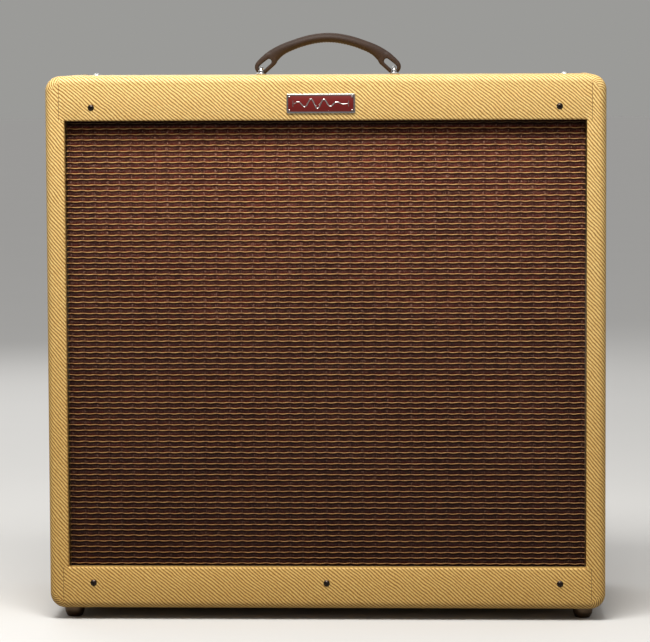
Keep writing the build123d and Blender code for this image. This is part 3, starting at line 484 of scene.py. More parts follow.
def make_wood(name, base, dark, axis, ring, seed):
    """Pine: long grain along one axis, with growth rings and a few knots."""
    m = Material(name)
    place = m.coordinates()
    shifted = m.vector_math("ADD", place, (seed, seed * 0.7, seed * 1.3))
    stretched = m.scale(shifted, along(axis, long=0.06, across=1.0))
    warp = m.noise(stretched, scale=9.0, detail=3.0, distortion=0.4)
    a, b = [value for value, name_ in zip(m.xyz(stretched), "XYZ") if name_ != axis]
    radius = a * (22.0 * ring) + b * (95.0 * ring)
    rings = (radius + warp * 9.0).fract()
    color = m.ramp(rings, [(0.0, base), (0.55, base), (0.86, dark), (0.97, dark), (1.0, base)])
    fibres = m.scale(shifted, along(axis, long=18, across=900))
    fine = m.noise(fibres, scale=1.0, detail=4.0, rough=0.7)
    fine_tone = m.ramp(fine, [(0.3, (0.72, 0.66, 0.6)), (0.62, (1.06, 1.05, 1.04))])
    color = m.multiply(0.5, color, fine_tone)
    patch = m.noise(place, scale=7.0, detail=3.0)
    color = m.tint(patch * 0.35, color, (0.86, 0.74, 0.6))
    knots = m.ramp(m.voronoi(shifted, scale=5.0, feature="F1"), [
        (0.0, (0.22, 0.11, 0.05)), (0.035, (0.36, 0.2, 0.1)), (0.055, 1), (1.0, 1),
    ])
    color = m.multiply(1.0, color, knots)
    m.set(color=color, rough=0.55 + fine * 0.15, spec=0.3,
          normal=m.bump(rings * 0.35 + fine, distance=0.00015, strength=0.6))


def make_plywood(name, stain=None):
    """Rotary grain on the faces, layered veneers on the edges."""
    m = Material(name)
    place = m.coordinates()
    _, y, z = m.xyz(place)
    light, dark = srgb(196, 158, 108), srgb(140, 100, 60)
    swirl = m.noise(m.scale(place, (0.5, 1.0, 3.2)),
                    scale=5.0, detail=4.0, rough=0.6, distortion=1.6)
    face = m.ramp((swirl * 9.0).fract(), [
        (0.0, light), (0.6, srgb(176, 136, 88)), (0.93, dark), (1.0, light),
    ])
    fine = m.noise(m.scale(place, (60, 900, 900)), scale=1.0, detail=4.0, rough=0.7)
    fine_tone = m.ramp(fine, [(0.3, (0.68, 0.6, 0.54)), (0.65, (1.05, 1.03, 1.0))])
    face = m.multiply(0.5, face, fine_tone)
    edge = abs(m.xyz(m.geometry("True Normal"))[1]) < 0.6
    layers = ((y + z * math.tan(BACK_LEAN)) * (1000.0 / 3.6)).fract()
    veneer = m.ramp(layers, [
        (0.0, srgb(120, 84, 52)), (0.45, srgb(138, 98, 60)),
        (0.52, srgb(206, 172, 124)), (1.0, srgb(196, 158, 110)),
    ])
    color = m.mix(edge, face, veneer)
    if stain:
        color = m.mix(stain, color, (0.012, 0.010, 0.009))
    m.set(color=color, rough=0.55 + fine * 0.2, spec=0.28,
          normal=m.bump(fine, distance=0.00012, strength=0.5))


def make_leather():
    """Dark brown leather with a fine cracked grain."""
    m = Material("handle_leather")
    place = m.coordinates()
    wobble = [m.noise(place, scale=scale, detail=2.0) for scale in (160.0, 130.0, 150.0)]
    warped = m.vector_math("ADD", place, m.scale(m.vec(*wobble), (0.003, 0.003, 0.003)))
    cells = m.voronoi(warped, scale=750.0, feature="DISTANCE_TO_EDGE")
    grain = m.ramp(cells, [(0.0, 0), (0.12, 0.75), (0.4, 1)])
    mottle = m.noise(place, scale=45.0, detail=4.0, rough=0.6)
    color = m.mix(mottle, srgb(46, 33, 26), srgb(63, 47, 37))
    color = m.mix((1.0 - m.xyz(grain)[0]) * 0.5, color, srgb(34, 25, 20))
    pores = m.noise(place, scale=900.0, detail=3.0)
    height = m.xyz(grain)[0] + pores * 0.4
    m.set(color=color, rough=0.46 + mottle * 0.2, spec=0.22,
          normal=m.bump(height, distance=0.00008, strength=0.45))


def make_paper(name, base, rough=0.8):
    m = Material(name)
    place = m.coordinates()
    fibres = m.noise(place, scale=700.0, detail=5.0, rough=0.7)
    mottle = m.noise(place, scale=40.0, detail=4.0)
    color = m.mix(mottle, base, times(base, 1.7))
    fibre_tone = m.ramp(fibres, [(0.35, 0.7), (0.7, (1.25, 1.22, 1.2))])
    color = m.multiply(0.7, color, fibre_tone)
    m.set(color=color, rough=rough, spec=0.2, sheen=0.05,
          normal=m.bump(fibres, distance=0.0002, strength=0.8))


# ---------------------------------------------------------------- metal, paint and plastic
def make_metal(name, color, rough, scratch, crease_shade=None, crease_shade_amount=0.4, brushed=None):
    """crease_shade: colour of painted shade laid into the creases by ambient occlusion. brushed:
    scale of the brush marks by axis.
    """
    m = Material(name)
    place = m.coordinates()
    marks = m.noise(m.scale(place, brushed or (1.0, 1.0, 1.0)),
                    scale=40.0 if brushed else 260.0, detail=4.0, rough=0.6)
    smears = m.noise(place, scale=34.0, detail=4.0, rough=0.6)
    roughness = clamp(rough + (marks - 0.45) * (scratch * 0.5))
    roughness = clamp(roughness + m.ramp(smears, [(0.45, 0), (0.75, 1)]) * 0.08)
    surface = m.mix(smears * 0.25, color, times(color, 0.78))
    if crease_shade:
        # painted shade: creases found by ambient occlusion are darkened towards the given colour
        creases = m.value("ShaderNodeAmbientOcclusion", {"Distance": 0.004}, "AO", samples=4)
        crease = m.ramp(creases, [(0.25, 1), (0.9, 0)])
        surface = m.mix(crease * crease_shade_amount, surface, crease_shade)
    m.set(color=surface, metal=1.0, rough=roughness,
          normal=m.bump(marks, distance=0.00003, strength=scratch))


def make_paint(name, color, rough, hammer=0.0, metal=0.0, coat=0.0, speck=None, grain=288.0):
    """hammer: strength of a hammered finish. speck: colour of small spots."""
    m = Material(name)
    place = m.coordinates()
    peel = m.noise(place, scale=grain, detail=4.0, rough=0.6)
    mottle = m.noise(place, scale=18.0, detail=4.0, rough=0.6)
    surface = m.mix(mottle * 0.55, color, times(color, 0.62))
    if speck:
        spots = m.ramp(m.noise(place, scale=420.0, detail=2.0), [(0.62, 0), (0.7, 1)])
        surface = m.mix(spots * 0.5, surface, speck)
    height = peel
    if hammer:
        height = m.voronoi(place, scale=380.0, feature="SMOOTH_F1") * 1.2 + peel * 0.3
    m.set(color=surface, rough=rough + peel * 0.12, metal=metal, coat=coat, spec=0.45,
          normal=m.bump(height, distance=0.00012, strength=hammer or 0.25))


def make_plastic(name, color, rough, grain=0.15, dust=0.12):
    """dust: how much pale dust lies on upward faces."""
    m = Material(name)
    place = m.coordinates()
    texture = m.noise(place, scale=500.0, detail=3.0)
    smears = m.noise(place, scale=60.0, detail=5.0, rough=0.65)
    upward = m.math("MAXIMUM", m.xyz(m.geometry("Normal"))[2], 0.0) * dust
    surface = m.mix(upward * smears, color, (0.30, 0.28, 0.25))
    m.set(color=surface, rough=rough + smears * 0.14, coat=0.15, coat_rough=0.2, spec=0.5,
          normal=m.bump(texture, distance=0.00002, strength=grain))


def make_glass():
    m = Material("valve_glass")
    smear = m.noise(m.coordinates(), scale=55.0, detail=3.0)
    m.set(color=(0.93, 0.97, 0.96), rough=0.02 + smear * 0.05,
          transmission=1.0, ior=1.45, spec=0.5)


def make_jewel():
    """Red glass, faintly lit."""
    m = Material("jewel")
    mottle = m.noise(m.coordinates(), scale=120.0, detail=2.0)
    m.set(color=m.mix(mottle, (0.62, 0.01, 0.008), (0.9, 0.03, 0.02)), rough=0.05,
          transmission=0.55, ior=1.6, emission=(1.0, 0.05, 0.02), emission_strength=0.35,
          coat=0.5, coat_rough=0.03)


def make_laminations():
    """Black enamel, with bare stacked steel on the sides in the middle of the depth."""
    m = Material("core_black")
    place = m.coordinates()
    y = m.xyz(place)[1]
    sheet = (y * (1000.0 / 0.9)).tent()
    sideways = abs(m.xyz(m.geometry("True Normal"))[1]) < 0.2
    core = sideways * (abs(y - 0.058) < 0.0131)
    texture = m.noise(place, scale=300.0, detail=4.0)
    mottle = m.noise(place, scale=25.0, detail=4.0)
    enamel = m.mix(mottle, (0.016, 0.016, 0.018), (0.04, 0.04, 0.043))
    steel = m.mix(sheet, (0.05, 0.045, 0.042), (0.16, 0.15, 0.145))
    height = texture * 0.3 + (core * sheet) * 2.0
    m.set(color=m.mix(core, enamel, steel), rough=0.35 + core * 0.2, metal=core * 0.7,
          coat=0.2, spec=0.4, normal=m.bump(height, distance=0.0002, strength=0.5))


def make_per_part(name, colors, rough=0.35):
    """One of the colours for each loose part, with a dull band off the board's middle."""
    m = Material(name)
    stops = [(i / len(colors), color) for i, color in enumerate(colors)]
    color = m.ramp(m.geometry("Random Per Island"), stops, "CONSTANT")
    place = m.coordinates()
    mottle = m.noise(place, scale=80.0, detail=4.0)
    band = m.ramp(abs(m.xyz(place)[2] - BOARD_MID_Z), [
        (0.0, 1), (0.0024, 1), (0.0030, (0.72, 0.7, 0.66)), (0.0036, 1), (1.0, 1),
    ])
    color = m.multiply(1.0, color, band)
    color = m.tint(mottle * 0.4, color, (0.55, 0.5, 0.45))
    m.set(color=color, rough=rough + mottle * 0.15, coat=0.2,
          normal=m.bump(mottle, distance=0.0001, strength=0.3))


def make_floor_material():
    """Pale floor that throws back less light than it shows."""
    m = Material("studio_floor")
    mottle = m.noise(m.coordinates(), scale=3.0, detail=4.0)
    shown = m.mix(mottle * 0.3, (0.66, 0.65, 0.63), (0.60, 0.59, 0.57))
    m.set(color=m.mix(m.camera_ray(), (0.27, 0.265, 0.255), shown), rough=0.75, spec=0.2)


def make_materials():
    make_tweed()
    make_wood("pine_upright", base=srgb(222, 184, 130), dark=srgb(196, 148, 96),
              axis="Z", ring=0.7, seed=0.3)
    make_wood("pine_crosswise", base=srgb(218, 178, 124), dark=srgb(168, 116, 68),
              axis="X", ring=1.0, seed=2.1)
    make_wood("pine_cleat", base=srgb(206, 164, 110), dark=srgb(158, 108, 62),
              axis="Z", ring=1.6, seed=5.7)
    make_plywood("baffle_plywood", stain=0.35)
    make_plywood("back_plywood")
    make_grille_weave()
    make_gold_thread()
    make_leather()

    make_metal("nickel", (0.80, 0.79, 0.76), rough=0.09, scratch=0.2, crease_shade=(0.12, 0.10, 0.08))
    make_metal("chassis_chrome", (0.60, 0.61, 0.62), rough=0.2, scratch=0.25,
               brushed=(2.0, 60.0, 60.0))
    make_metal("screw_steel", (0.55, 0.53, 0.49), rough=0.28, scratch=0.4,
               crease_shade=(0.06, 0.045, 0.035), crease_shade_amount=0.8)
    make_metal("dark_screw", (0.060, 0.045, 0.036), rough=0.24, scratch=0.4,
               crease_shade=(0.01, 0.008, 0.006), crease_shade_amount=0.8)
    make_metal("zinc", (0.62, 0.62, 0.60), rough=0.32, scratch=0.5, crease_shade=(0.16, 0.14, 0.11))
    make_metal("glide", (0.20, 0.135, 0.085), rough=0.36, scratch=0.5, crease_shade=(0.03, 0.02, 0.015))
    make_metal("getter_flash", (0.62, 0.62, 0.64), rough=0.16, scratch=0.3)
    make_metal("valve_plate", (0.16, 0.16, 0.17), rough=0.5, scratch=0.5)
    make_metal("voice_coil", (0.55, 0.24, 0.10), rough=0.3, scratch=0.3)

    make_plastic("phenolic", (0.014, 0.013, 0.012), rough=0.2)
    make_plastic("socket_phenolic", (0.045, 0.028, 0.018), rough=0.4, dust=0.05)
    make_plastic("mains_cord", (0.05, 0.032, 0.024), rough=0.5, grain=0.4)

    make_paint("white_ink", (0.82, 0.81, 0.76), rough=0.5)
    make_paint("black_ink", (0.02, 0.02, 0.02), rough=0.5)
    make_paint("red_enamel", (0.150, 0.0066, 0.0050), rough=0.34, coat=0.08, grain=96.0)
    make_paint("basket_paint", (0.20, 0.21, 0.22), rough=0.34, hammer=0.6, metal=0.5)
    make_paint("magnet_paint", (0.10, 0.085, 0.07), rough=0.36, hammer=0.25, metal=0.2,
               speck=(0.2, 0.18, 0.15))

    make_paper("cone_paper", (0.030, 0.027, 0.025))
    make_paper("dust_cap", (0.05, 0.045, 0.04), rough=0.65)
    make_paper("surround_paper", (0.022, 0.020, 0.019), rough=0.6)
    make_paper("spider_cloth", (0.36, 0.20, 0.06))
    make_paper("fibre_board", (0.012, 0.011, 0.010), rough=0.6)

    make_jewel()
    make_glass()
    make_laminations()
    make_braid("lead_cloth", base=(0.42, 0.33, 0.16), tracer=(0.03, 0.03, 0.03))
    make_braid("lead_cloth_white", base=(0.62, 0.58, 0.48), tracer=(0.30, 0.06, 0.04))
    make_braid("stitch_thread", base=(0.20, 0.15, 0.10), tracer=(0.13, 0.09, 0.06),
               pitch=0.0006)
    yellow, brown = (0.62, 0.36, 0.04), (0.14, 0.06, 0.03)
    make_per_part("components", [
        yellow, brown, yellow, (0.03, 0.08, 0.26), (0.3, 0.22, 0.12), brown, (0.05, 0.12, 0.3),
    ])
    make_per_part("filters", [
        (0.05, 0.10, 0.28), (0.06, 0.11, 0.30), (0.05, 0.10, 0.28), (0.30, 0.28, 0.25),
    ], rough=0.3)
    make_floor_material()


# ---------------------------------------------------------------- mesh helpers
# A shape is a (vertices, faces) pair.
def add_mesh(name, shape, material, uv=None, sharp=35.0, body="cabinet", stands_for=(),
             slot=None, solid=None):
    """uv: a list of (u, v) per face. sharp: smoothing angle in degrees, None for flat.
    solid: thickness inwards."""
    verts, faces = shape
    mesh = bpy.data.meshes.new(name)
    mesh.from_pydata([tuple(v) for v in verts], [], faces)
    if uv is not None:
        layer = mesh.uv_layers.new(name="UVMap")
        corners = np.array([corner for face in uv for corner in face], np.float32)
        layer.data.foreach_set("uv", corners.ravel())
    mesh.materials.append(MATERIALS[material])
    mesh.validate()
    ob = bpy.data.objects.new(name, mesh)
    bpy.context.scene.collection.objects.link(ob)
    if sharp is not None:
        shade_smooth(mesh)
        mesh.set_sharp_from_angle(angle=math.radians(sharp))
    if solid:
        modifier = ob.modifiers.new("thickness", "SOLIDIFY")
        modifier.thickness = solid
        modifier.offset = -1.0
        modifier.use_even_offset = True
    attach(ob, body)
    if stands_for:
        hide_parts(*stands_for)


def shade_smooth(mesh):
    mesh.polygons.foreach_set("use_smooth", [True] * len(mesh.polygons))


def lin(start, end, steps):
    return [start + (end - start) * i / steps for i in range(steps + 1)]


def mm(points):
    """Millimetre tuples in metres."""
    return [tuple(c * MM for c in point) for point in points]


def ring_quads(count, rings, first=0):
    """Quads between successive closed rings of vertices."""
    faces = []
    for ring in range(rings - 1):
        a = first + ring * count
        for i in range(count):
            j = (i + 1) % count
            faces.append((a + i, a + j, a + count + j, a + count + i))
    return faces


def lathe(profile, place, segments=96):
    """Turns a closed outline of (radius, height) about local Z, then places it."""
    verts, faces = [], []
    count = len(profile)
    for i in range(segments):
        a = math.tau * i / segments
        c, s = math.cos(a), math.sin(a)
        verts += [place @ Vector((r * c, r * s, z)) for r, z in profile]
    for i in range(segments):
        j = (i + 1) % segments
        for k in range(count):
            after = (k + 1) % count
            faces.append((i * count + k, j * count + k, j * count + after, i * count + after))
    return verts, faces


def join(shapes):
    verts, faces = [], []
    for part_verts, part_faces in shapes:
        first = len(verts)
        verts += [Vector(p) for p in part_verts]
        faces += [tuple(i + first for i in face) for face in part_faces]
    return verts, faces


def frames(points):
    """Two directions square to the path at each point, carried along without twist."""
    last = len(points) - 1
    tangents = [(points[min(i + 1, last)] - points[max(i - 1, 0)]).normalized()
                for i in range(last + 1)]
    start = Vector((0, 0, 1)) if abs(tangents[0].z) < 0.9 else Vector((1, 0, 0))
    side = (start - tangents[0] * start.dot(tangents[0])).normalized()
    pairs = []
    for tangent in tangents:
        side = (side - tangent * side.dot(tangent)).normalized()
        pairs.append((side, tangent.cross(side)))
    return pairs


def tube(points, radius, segments=12):
    """A closed round tube. radius: a number, or a function of the point's index."""
    points = [Vector(p) for p in points]
    verts = []
    for i, (point, (side, other)) in enumerate(zip(points, frames(points))):
        r = radius(i) if callable(radius) else radius
        for k in range(segments):
            a = math.tau * k / segments
            verts.append(point + (side * math.cos(a) + other * math.sin(a)) * r)
    faces = ring_quads(segments, len(points))
    faces.append(tuple(range(segments))[::-1])
    faces.append(tuple((len(points) - 1) * segments + k for k in range(segments)))
    return verts, faces


def spline(points, per):
    """Catmull-Rom curve, with this many steps between points."""
    points = [Vector(p) for p in points]
    last = len(points) - 1
    curve = []
    for i in range(last):
        p0, p1, p2, p3 = (points[min(max(k, 0), last)] for k in (i - 1, i, i + 1, i + 2))
        for k in range(per):
            t = k / per
            curve.append(0.5 * (
                (2 * p1) + (p2 - p0) * t + (2 * p0 - 5 * p1 + 4 * p2 - p3) * t * t
                + (3 * p1 - p0 - 3 * p2 + p3) * t ** 3))
    curve.append(points[-1])
    return curve


def cubic(points, step):
    """Natural cubic spline, spaced by chord length and sampled about every step."""
    points = np.array([tuple(p) for p in points], float)
    chords = np.linalg.norm(np.diff(points, axis=0), axis=1)
    knots = np.concatenate([[0], np.cumsum(chords)])
    n = len(points)
    matrix = np.zeros((n, n))
    rates = np.zeros((n, 3))
    matrix[0, 0] = matrix[-1, -1] = 1
    for i in range(1, n - 1):
        before, after = chords[i - 1], chords[i]
        matrix[i, i - 1:i + 2] = before, 2 * (before + after), after
        rates[i] = 6 * ((points[i + 1] - points[i]) / after - (points[i] - points[i - 1]) / before)
    bend = np.linalg.solve(matrix, rates)
    curve = []
    for q in np.linspace(0, knots[-1], max(int(knots[-1] / step), 2) + 1):
        i = min(np.searchsorted(knots, q, side="right") - 1, n - 2)
        h, a, b = chords[i], knots[i + 1] - q, q - knots[i]
        curve.append(Vector(
            (bend[i] * a ** 3 + bend[i + 1] * b ** 3) / (6 * h)
            + (points[i] / h - bend[i] * h / 6) * a
            + (points[i + 1] / h - bend[i + 1] * h / 6) * b))
    return curve


def rounded_loop(half_width, low, high, radius, fractions, side_steps, corner_steps):
    """(x, z, stretch) round a rounded rectangle: bottom, right, top, left.

    fractions place the points of the bottom and top along their straight parts, -1 to 1.
    """
    straight = half_width - radius
    base, head = low + radius, high - radius
    heights = [base + (head - base) * f for f in lin(0, 1, side_steps)]

    def corner(start, x, z):
        for k in range(1, corner_steps):
            a = math.radians(start + 90 * k / corner_steps)
            yield x + radius * math.cos(a), z + radius * math.sin(a), "corner"

    return [
        *((straight * f, low, "bottom") for f in fractions),
        *corner(-90, straight, base),
        *((half_width, z, "right") for z in heights),
        *corner(0, straight, head),
        *((straight * f, high, "top") for f in reversed(fractions)),
        *corner(90, -straight, head),
        *((-half_width, z, "left") for z in reversed(heights)),
        *corner(180, -straight, base),
    ]


# ---------------------------------------------------------------- tweed covering
TURN_END_Y = FRONT + FRONT_R         # where the rounded front edge meets the sides
TURN_ARC = FRONT_R * math.pi / 2
LIP_R = 0.0018                       # rounding round the grille opening
RECESS_FLOOR_Z, RECESS_BACK_Y = 0.5652, 0.1045


def cabinet_loop(half_width, low, high, radius):
    inner = INNER_X / (WIDTH / 2 - CORNER_R)
    fractions = [-1.0, *lin(-inner, inner, 46), 1.0]
    return rounded_loop(half_width, low, high, radius, fractions, 44, 8)


def outer_loop(inset):
    return cabinet_loop(WIDTH / 2 - inset, BOTTOM + inset, TOP - inset,
                        max(CORNER_R - inset, 0.0005))


def opening_loop(grow):
    return cabinet_loop(INNER_X - SKIN + grow, OPEN_BOTTOM - grow, OPEN_TOP + grow,
                        0.0008 + grow)


def back_arc(z, turn):
    """Cloth length from the front face to this angle round the back edge."""
    return TURN_ARC + back_y(z) - BACK_R - TURN_END_Y + BACK_R * turn


class Covering:
    """One skin lofted from the grille opening, over the front and sides, to the back edge."""

    def __init__(self):
        self.make_rings()
        self.outer = outer_loop(0.0)
        self.count = len(self.outer)
        self.verts = [(x, y_at(z), z) for points, y_at, _, _ in self.rings for x, z, _ in points]
        self.faces, self.uvs = [], []
        # distance round the outer loop, for the side cloth
        self.around = [0.0]
        for a, b in zip(self.outer, self.outer[1:]):
            self.around.append(self.around[-1] + math.dist(a[:2], b[:2]))
        self.total = self.around[-1] + math.dist(self.outer[0][:2], self.outer[-1][:2])
        stretches = [point[2] for point in self.outer]
        self.right_start = stretches.index("right")
        self.left_start = stretches.index("left")
        self.over_top = [i for i, (x, _, stretch) in enumerate(self.outer)
                         if stretch == "top" and abs(x) <= INNER_X + 1e-6]

        self.add_skin()
        self.add_top_lip()
        self.add_recess_lining()
        self.add_back_edge()

    def make_rings(self):
        """Each ring: points, y from z, cloth length from z, and the cloth up to it."""
        rings = [
            (opening_loop(0.0), lambda z: RAIL_BACK - 0.0002, lambda z: -RAIL - SKIN, "reveal"),
            (opening_loop(0.0), lambda z: FRONT + LIP_R, lambda z: -LIP_R, "reveal"),
        ]
        for degrees in (30, 60, 90):
            t = math.radians(degrees)
            rings.append((opening_loop(LIP_R * (1 - math.cos(t))),
                          lambda z, t=t: FRONT + LIP_R * (1 - math.sin(t)),
                          lambda z: 0.0, "front"))
        for k in range(8):
            t = math.radians(90 * k / 7)
            rings.append((outer_loop(FRONT_R * (1 - math.sin(t))),
                          lambda z, t=t: FRONT + FRONT_R * (1 - math.cos(t)),
                          lambda z, t=t: FRONT_R * t, "depth" if k else "front"))
        for y in lin(TURN_END_Y, TOP_BACK, 18)[1:]:
            rings.append((outer_loop(0.0), lambda z, y=y: y,
                          lambda z, y=y: TURN_ARC + y - TURN_END_Y, "depth"))
        self.open_ring = len(rings) - 1          # behind this the top is open
        for f in lin(0, 1, 10)[1:]:
            def y_at(z, f=f):
                return TOP_BACK + (back_y(z) - BACK_R - TOP_BACK) * f
            rings.append((outer_loop(0.0), y_at,
                          lambda z, y_at=y_at: TURN_ARC + y_at(z) - TURN_END_Y, "depth"))
        for k in range(1, 6):
            t = math.radians(90 * k / 5)
            rings.append((outer_loop(BACK_R * (1 - math.cos(t))),
                          lambda z, t=t: back_y(z) - BACK_R * (1 - math.sin(t)),
                          lambda z, t=t: back_arc(z, t), "depth"))
        self.rings = rings

    def right_v(self, i):
        start = self.right_start
        return self.outer[start][1] + self.around[i] - self.around[start]

    def left_v(self, i):
        start = self.left_start
        wrapped = i < start and self.around[i] <= self.total / 2
        distance = self.around[i] + (self.total if wrapped else 0.0)
        return self.outer[start][1] - (distance - self.around[start])

    def arc(self, ring, i):
        points, _, arc_at, _ = self.rings[ring]
        return arc_at(points[i][1])

    def uv_at(self, ring, i, cloth, side):
        x, z, _ = self.rings[ring][0][i]
        arc = self.arc(ring, i)
        if cloth == "front":
            return x, z
        if cloth == "reveal":
            if side in ("right", "left"):
                return x - math.copysign(arc, x), z
            return x, (z + arc if z > 0.3 else z - arc)
        if side == "top":
            return x, TOP - FRONT_R + arc
        if side == "bottom":
            return x, BOTTOM + FRONT_R - arc
        if x > 0:
            return WIDTH / 2 - FRONT_R + arc, self.right_v(i)
        return -WIDTH / 2 + FRONT_R - arc, self.left_v(i)

    def add_face(self, corners):
        """corners: (vertex, uv) pairs."""
        self.faces.append(tuple(vertex for vertex, _ in corners))
        self.uvs.append([uv for _, uv in corners])

    def add_skin(self):
        for ring in range(len(self.rings) - 1):
            cloth = self.rings[ring + 1][3]
            for i in range(self.count):
                j = (i + 1) % self.count
                (x, _, stretch), (next_x, _, next_stretch) = self.outer[i], self.outer[j]
                side = stretch if stretch == next_stretch else "corner"
                over_recess = side == "top" and abs((x + next_x) / 2) < INNER_X
                if over_recess and ring >= self.open_ring:
                    continue
                places = ((ring, i), (ring + 1, i), (ring + 1, j), (ring, j))
                self.add_face([(r * self.count + k, self.uv_at(r, k, cloth, side))
                               for r, k in places])

    def add_top_lip(self):
        """Cloth folded down over the top board's back edge."""
        row = self.open_ring * self.count
        first = len(self.verts)
        for i in self.over_top:
            self.verts.append((self.outer[i][0], TOP_BACK, INNER_TOP + 0.0002))
        for k, (a, b) in enumerate(zip(self.over_top, self.over_top[1:])):
            xa, xb = self.outer[a][0], self.outer[b][0]
            v = TOP - FRONT_R + self.arc(self.open_ring, a)
            self.add_face([(row + a, (xa, v)), (row + b, (xb, v)),
                           (first + k + 1, (xb, v + BOARD)), (first + k, (xa, v + BOARD))])

    def add_recess_lining(self):
        """Cloth down both end walls of the control recess."""
        for sign, i in ((1, self.over_top[0]), (-1, self.over_top[-1])):
            rings = range(self.open_ring, len(self.rings))
            upper = [ring * self.count + i for ring in rings]
            us = [sign * (WIDTH / 2 + self.arc(ring, i)) for ring in rings]
            first = len(self.verts)
            for vertex in upper:
                x, y, _ = self.verts[vertex]
                self.verts.append((x, min(y, RECESS_BACK_Y), RECESS_FLOOR_Z))
            v = self.right_v(i)
            for k in range(len(upper) - 1):
                corners = [
                    (upper[k], (us[k], v)), (first + k, (us[k], v + 0.02)),
                    (first + k + 1, (us[k + 1], v + 0.02)), (upper[k + 1], (us[k + 1], v)),
                ]
                self.add_face(corners if sign > 0 else corners[:1] + corners[:0:-1])

    def add_strip(self, stations):
        """stations: (outer vertex, inner vertex, outer uv, inner uv)."""
        for a, b in zip(stations, stations[1:]):
            self.add_face([(a[0], a[2]), (a[1], a[3]), (b[1], b[3]), (b[0], b[2])])

    def add_on_back(self, x, z):
        self.verts.append((x, back_y(z), z))
        return len(self.verts) - 1

    def add_back_edge(self):
        """Flat back edge of the carcass: both uprights, and the bottom between them."""
        loop = outer_loop(BACK_R)
        last = (len(self.rings) - 1) * self.count
        right_end = self.add_back_upright(loop, last, 1)
        left_end = self.add_back_upright(loop, last, -1)
        low_left = [i for i, (x, z, stretch) in enumerate(loop)
                    if stretch == "corner" and z < 0.3 and x < 0]
        bottom = [i for i, (x, z, stretch) in enumerate(loop)
                  if stretch == "bottom" or (stretch == "corner" and z < 0.3 and x > 0)]
        edge_z = BOTTOM + BACK_R
        edge_v = BOTTOM + FRONT_R - back_arc(edge_z, math.pi / 2)
        mitres = dict((left_end, right_end))
        stations = []
        for i in [left_end[0], *low_left, *bottom, right_end[0]]:
            x, z, _ = loop[i]
            inner_x = max(-INNER_X, min(INNER_X, x))
            inner = mitres[i] if i in mitres else self.add_on_back(inner_x, INNER_BOTTOM)
            stations.append((last + i, inner, (x, edge_v - (z - edge_z)),
                             (inner_x, edge_v - (INNER_BOTTOM - edge_z))))
        self.add_strip(stations)

    def add_back_upright(self, loop, last, sign):
        """From the mitre at the bottom up to the open top. Returns the mitre's loop index
        and inner vertex."""
        side = "right" if sign > 0 else "left"
        run = [i for i, (x, z, stretch) in enumerate(loop) if stretch == side or (
            stretch in ("corner", "top") and sign * x >= INNER_X - 1e-6 and z > 0.3)]
        if sign < 0:
            run.reverse()
        stations = []
        for i in run:
            z = loop[i][1]
            inner_z = INNER_BOTTOM if z < INNER_BOTTOM else min(z, TOP - 0.012)
            u = WIDTH / 2 - FRONT_R + back_arc(z, math.pi / 2)
            v = self.right_v(i) if sign > 0 else self.left_v(i)
            inner_u = u + WIDTH / 2 - BACK_R - INNER_X
            stations.append((last + i, self.add_on_back(sign * INNER_X, inner_z),
                             (sign * u, v), (sign * inner_u, v + (inner_z - z))))
        self.add_strip(stations if sign > 0 else stations[::-1])
        return run[0], stations[0][1]


def build_covering():
    cover = Covering()
    add_mesh("tweed_covering_skin", (cover.verts, cover.faces), "tweed", cover.uvs, sharp=50,
             solid=0.0006, stands_for=("tweed_covering", "tweed_front_rails"), slot="tweed")


# ---------------------------------------------------------------- tweed on the back panels
BACK_PLACE = Matrix.Translation((0, BACK, BOTTOM)) @ Matrix.Rotation(BACK_LEAN, 4, "X")
PANEL_HALF_WIDTH, PANEL_BOARD = 0.2775, 0.0095
PANEL_SPANS = ((0.0215, 0.2110), (0.3950, 0.5590))       # lower and upper, up the lean


def panel_skin(low, high):
    """Cloth over a panel's outer face, turned round its edges onto the inner face."""
    thick, r = PANEL_BOARD + 2 * SKIN, 0.0022
    turns = [math.radians(a) for a in (0, 30, 60, 90)]
    # (inset, depth) from the inner turn-under to the outer face
    section = [(0.022, -thick + 0.0001)]
    section += [(r * (1 - math.sin(a)), -thick + r * (1 - math.cos(a))) for a in turns]
    section += [(r * (1 - math.cos(a)), -r * (1 - math.sin(a))) for a in turns]
    lengths = [0.0]
    for a, b in zip(section, section[1:]):
        lengths.append(lengths[-1] + math.dist(a, b))

    verts, flat = [], []
    for (inset, y), length in zip(section, lengths):
        loop = rounded_loop(PANEL_HALF_WIDTH - inset, low + inset, high - inset,
                            max(0.004 - inset, 0.0004), lin(-1, 1, 40), 14, 4)
        reach = (lengths[-1] - length) * 0.9
        for x, z, _ in loop:
            verts.append(BACK_PLACE @ Vector((x, y, z)))
            if abs(x) > PANEL_HALF_WIDTH - 0.03 and low + 0.03 < z < high - 0.03:
                flat.append((-(x + math.copysign(reach, x)), z))
            else:
                flat.append((-x, z + (reach if z > (low + high) / 2 else -reach)))
    count = len(loop)
    faces = ring_quads(count, len(section))
    faces.append(tuple((len(section) - 1) * count + i for i in range(count)))
    return (verts, faces), [[flat[i] for i in face] for face in faces]


def build_back_skins():
    shapes, uvs = zip(*(panel_skin(low, high) for low, high in PANEL_SPANS))
    add_mesh("tweed_back_skins", join(shapes), "tweed", uvs[0] + uvs[1], sharp=50,
             solid=0.0006, stands_for=("tweed_back_panels",), slot="tweed")


